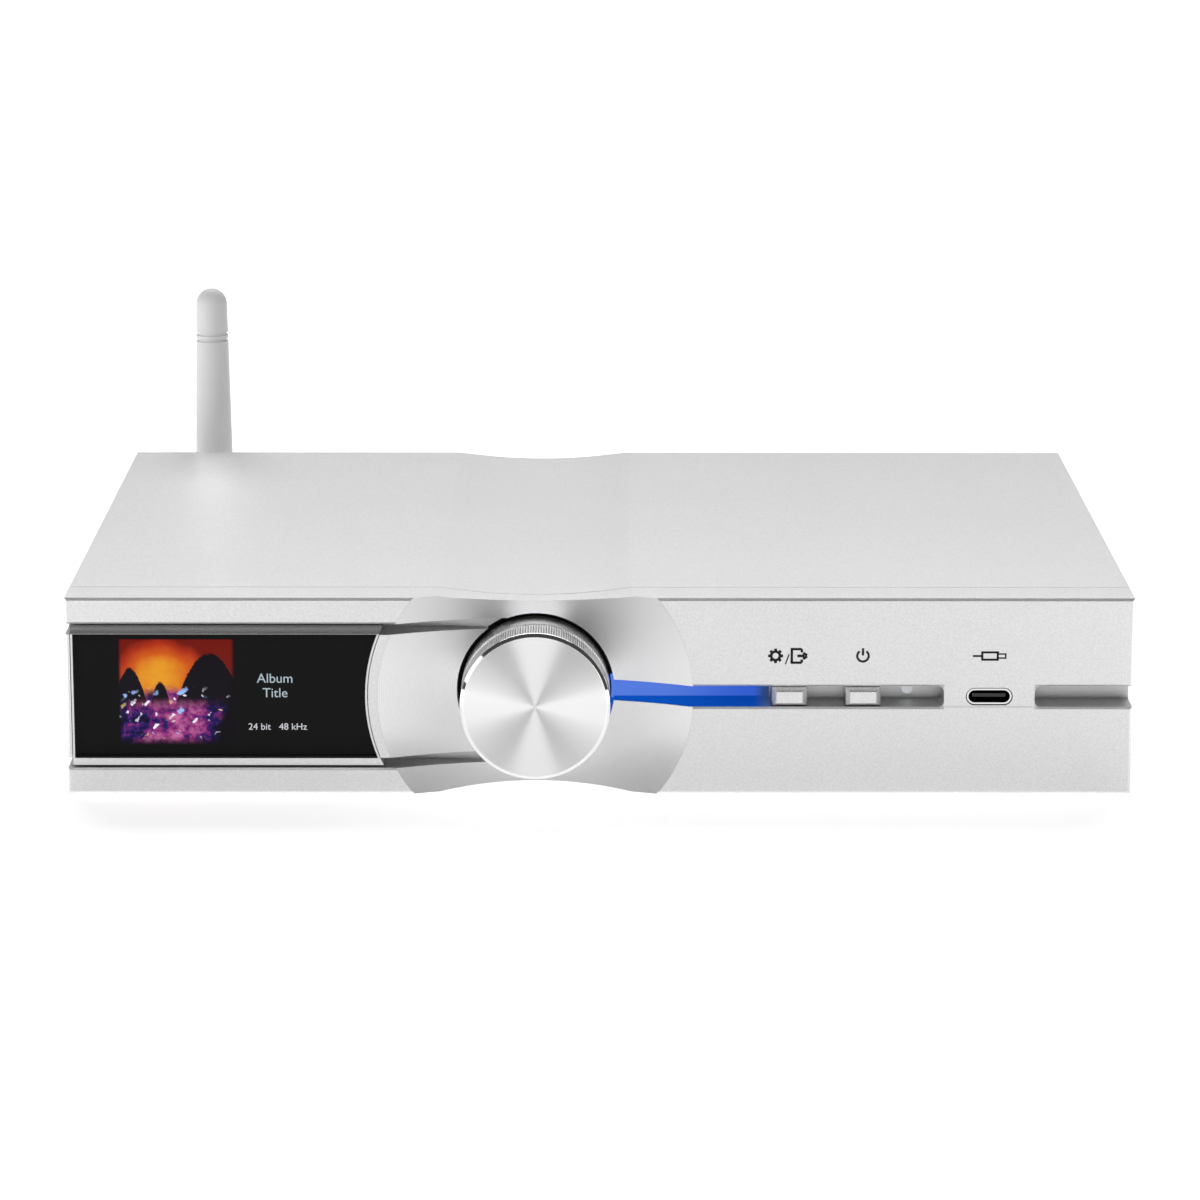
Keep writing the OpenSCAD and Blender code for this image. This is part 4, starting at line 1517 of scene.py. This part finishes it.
@dataclass(frozen=True)
class Lamp:
    """A soft rectangular lamp; lengths in metres, power in watts."""

    name: str
    place: tuple[float, float, float]
    target: tuple[float, float, float]
    size: tuple[float, float]
    power: float

    def build(self) -> None:
        """Makes the lamp and points it at its target."""
        data = bpy.data.lights.new(self.name, "AREA")
        data.shape = "RECTANGLE"
        data.size, data.size_y = self.size
        data.energy = self.power
        lamp = bpy.data.objects.new(self.name, data)
        place = Vector(self.place)
        turn = (Vector(self.target) - place).to_track_quat("-Z", "Y").to_matrix().to_4x4()
        lamp.matrix_world = Matrix.Translation(place) @ turn
        bpy.context.scene.collection.objects.link(lamp)


@dataclass
class Studio:
    """White paper floor, soft lights and the camera."""

    shop: Shop
    air: float = 0.06
    floor_half: float = 6.0
    lamps: tuple[Lamp, ...] = (
        Lamp("over_back", (0, 0.9, 1.1), (0, 0, 0), (1.4, 0.8), 12.5),
        Lamp("front_top", (0, -1.4, 1.3), (0, 0, 0), (1.3, 0.8), 11.5),
        Lamp("left_side", (-1.2, -0.3, 0.45), (0, 0, 0.02), (0.8, 0.6), 2.0))
    eye: Vector = field(default_factory=lambda: Vector((-2.7, -946, 241.6)) * MM)
    tilt: float = math.radians(13.06)
    swing: float = math.radians(0.181)
    roll: float = math.radians(0.081)
    lens: float = 133.62
    sensor: float = 36.0

    def build(self) -> None:
        """Makes the floor, the light and the camera."""
        self._floor()
        self._camera()
        self._surroundings()
        for lamp in self.lamps:
            lamp.build()
        bpy.context.scene.view_settings.view_transform = "Standard"

    def _floor(self) -> None:
        """A wide sheet of paper at z 0."""
        bm = bmesh.new()
        bmesh.ops.create_grid(bm, x_segments=4, y_segments=4, size=self.floor_half)
        mesh = to_mesh(bm, "studio_paper")
        mesh.materials.append(self.shop.material(PaperFloor()))
        floor = bpy.data.objects.new("studio_paper", mesh)
        bpy.context.scene.collection.objects.link(floor)

    def _camera(self) -> None:
        """The camera at the front, a little above the object."""
        data = bpy.data.cameras.new("camera")
        data.sensor_width = self.sensor
        data.lens = self.lens
        data.clip_start, data.clip_end = 0.01, 30.0
        camera = bpy.data.objects.new("camera", data)
        turn = (Matrix.Rotation(-self.swing, 4, "Z") @ Matrix.Rotation(math.pi / 2 - self.tilt, 4, "X")
                @ Matrix.Rotation(self.roll, 4, "Z"))
        camera.matrix_world = Matrix.Translation(self.eye) @ turn
        bpy.context.scene.collection.objects.link(camera)
        bpy.context.scene.camera = camera

    def _surroundings(self) -> None:
        """Even white light from all round."""
        world = bpy.data.worlds.new("studio_air")
        world.use_nodes = True
        backdrop = world.node_tree.nodes["Background"]
        backdrop.inputs["Color"].default_value = (1.0, 1.0, 1.0, 1.0)
        backdrop.inputs["Strength"].default_value = self.air
        bpy.context.scene.world = world


def main() -> None:
    """Loads the frame and builds and dresses everything."""
    logging.basicConfig(level=logging.INFO, format="%(message)s", stream=sys.stdout)
    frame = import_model()
    shop = Shop(frame["nodes"])
    Studio(shop).build()
    knob_low, knob_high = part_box("volume_knob")
    axis = (knob_low + knob_high) / 2
    front_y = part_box("front_panel")[0].y
    Case(shop).build()
    TurnedDish(shop).build(axis, front_y)
    VolumeKnob(shop).build()
    Display(shop).build()
    ButtonRow(shop).build()
    FrontMarks(shop).build(front_y)
    FrontSocket(shop).build()
    RearSockets(shop).build()
    Aerial(shop).build()
    Interior(shop).build()


if __name__ == "__main__":
    main()
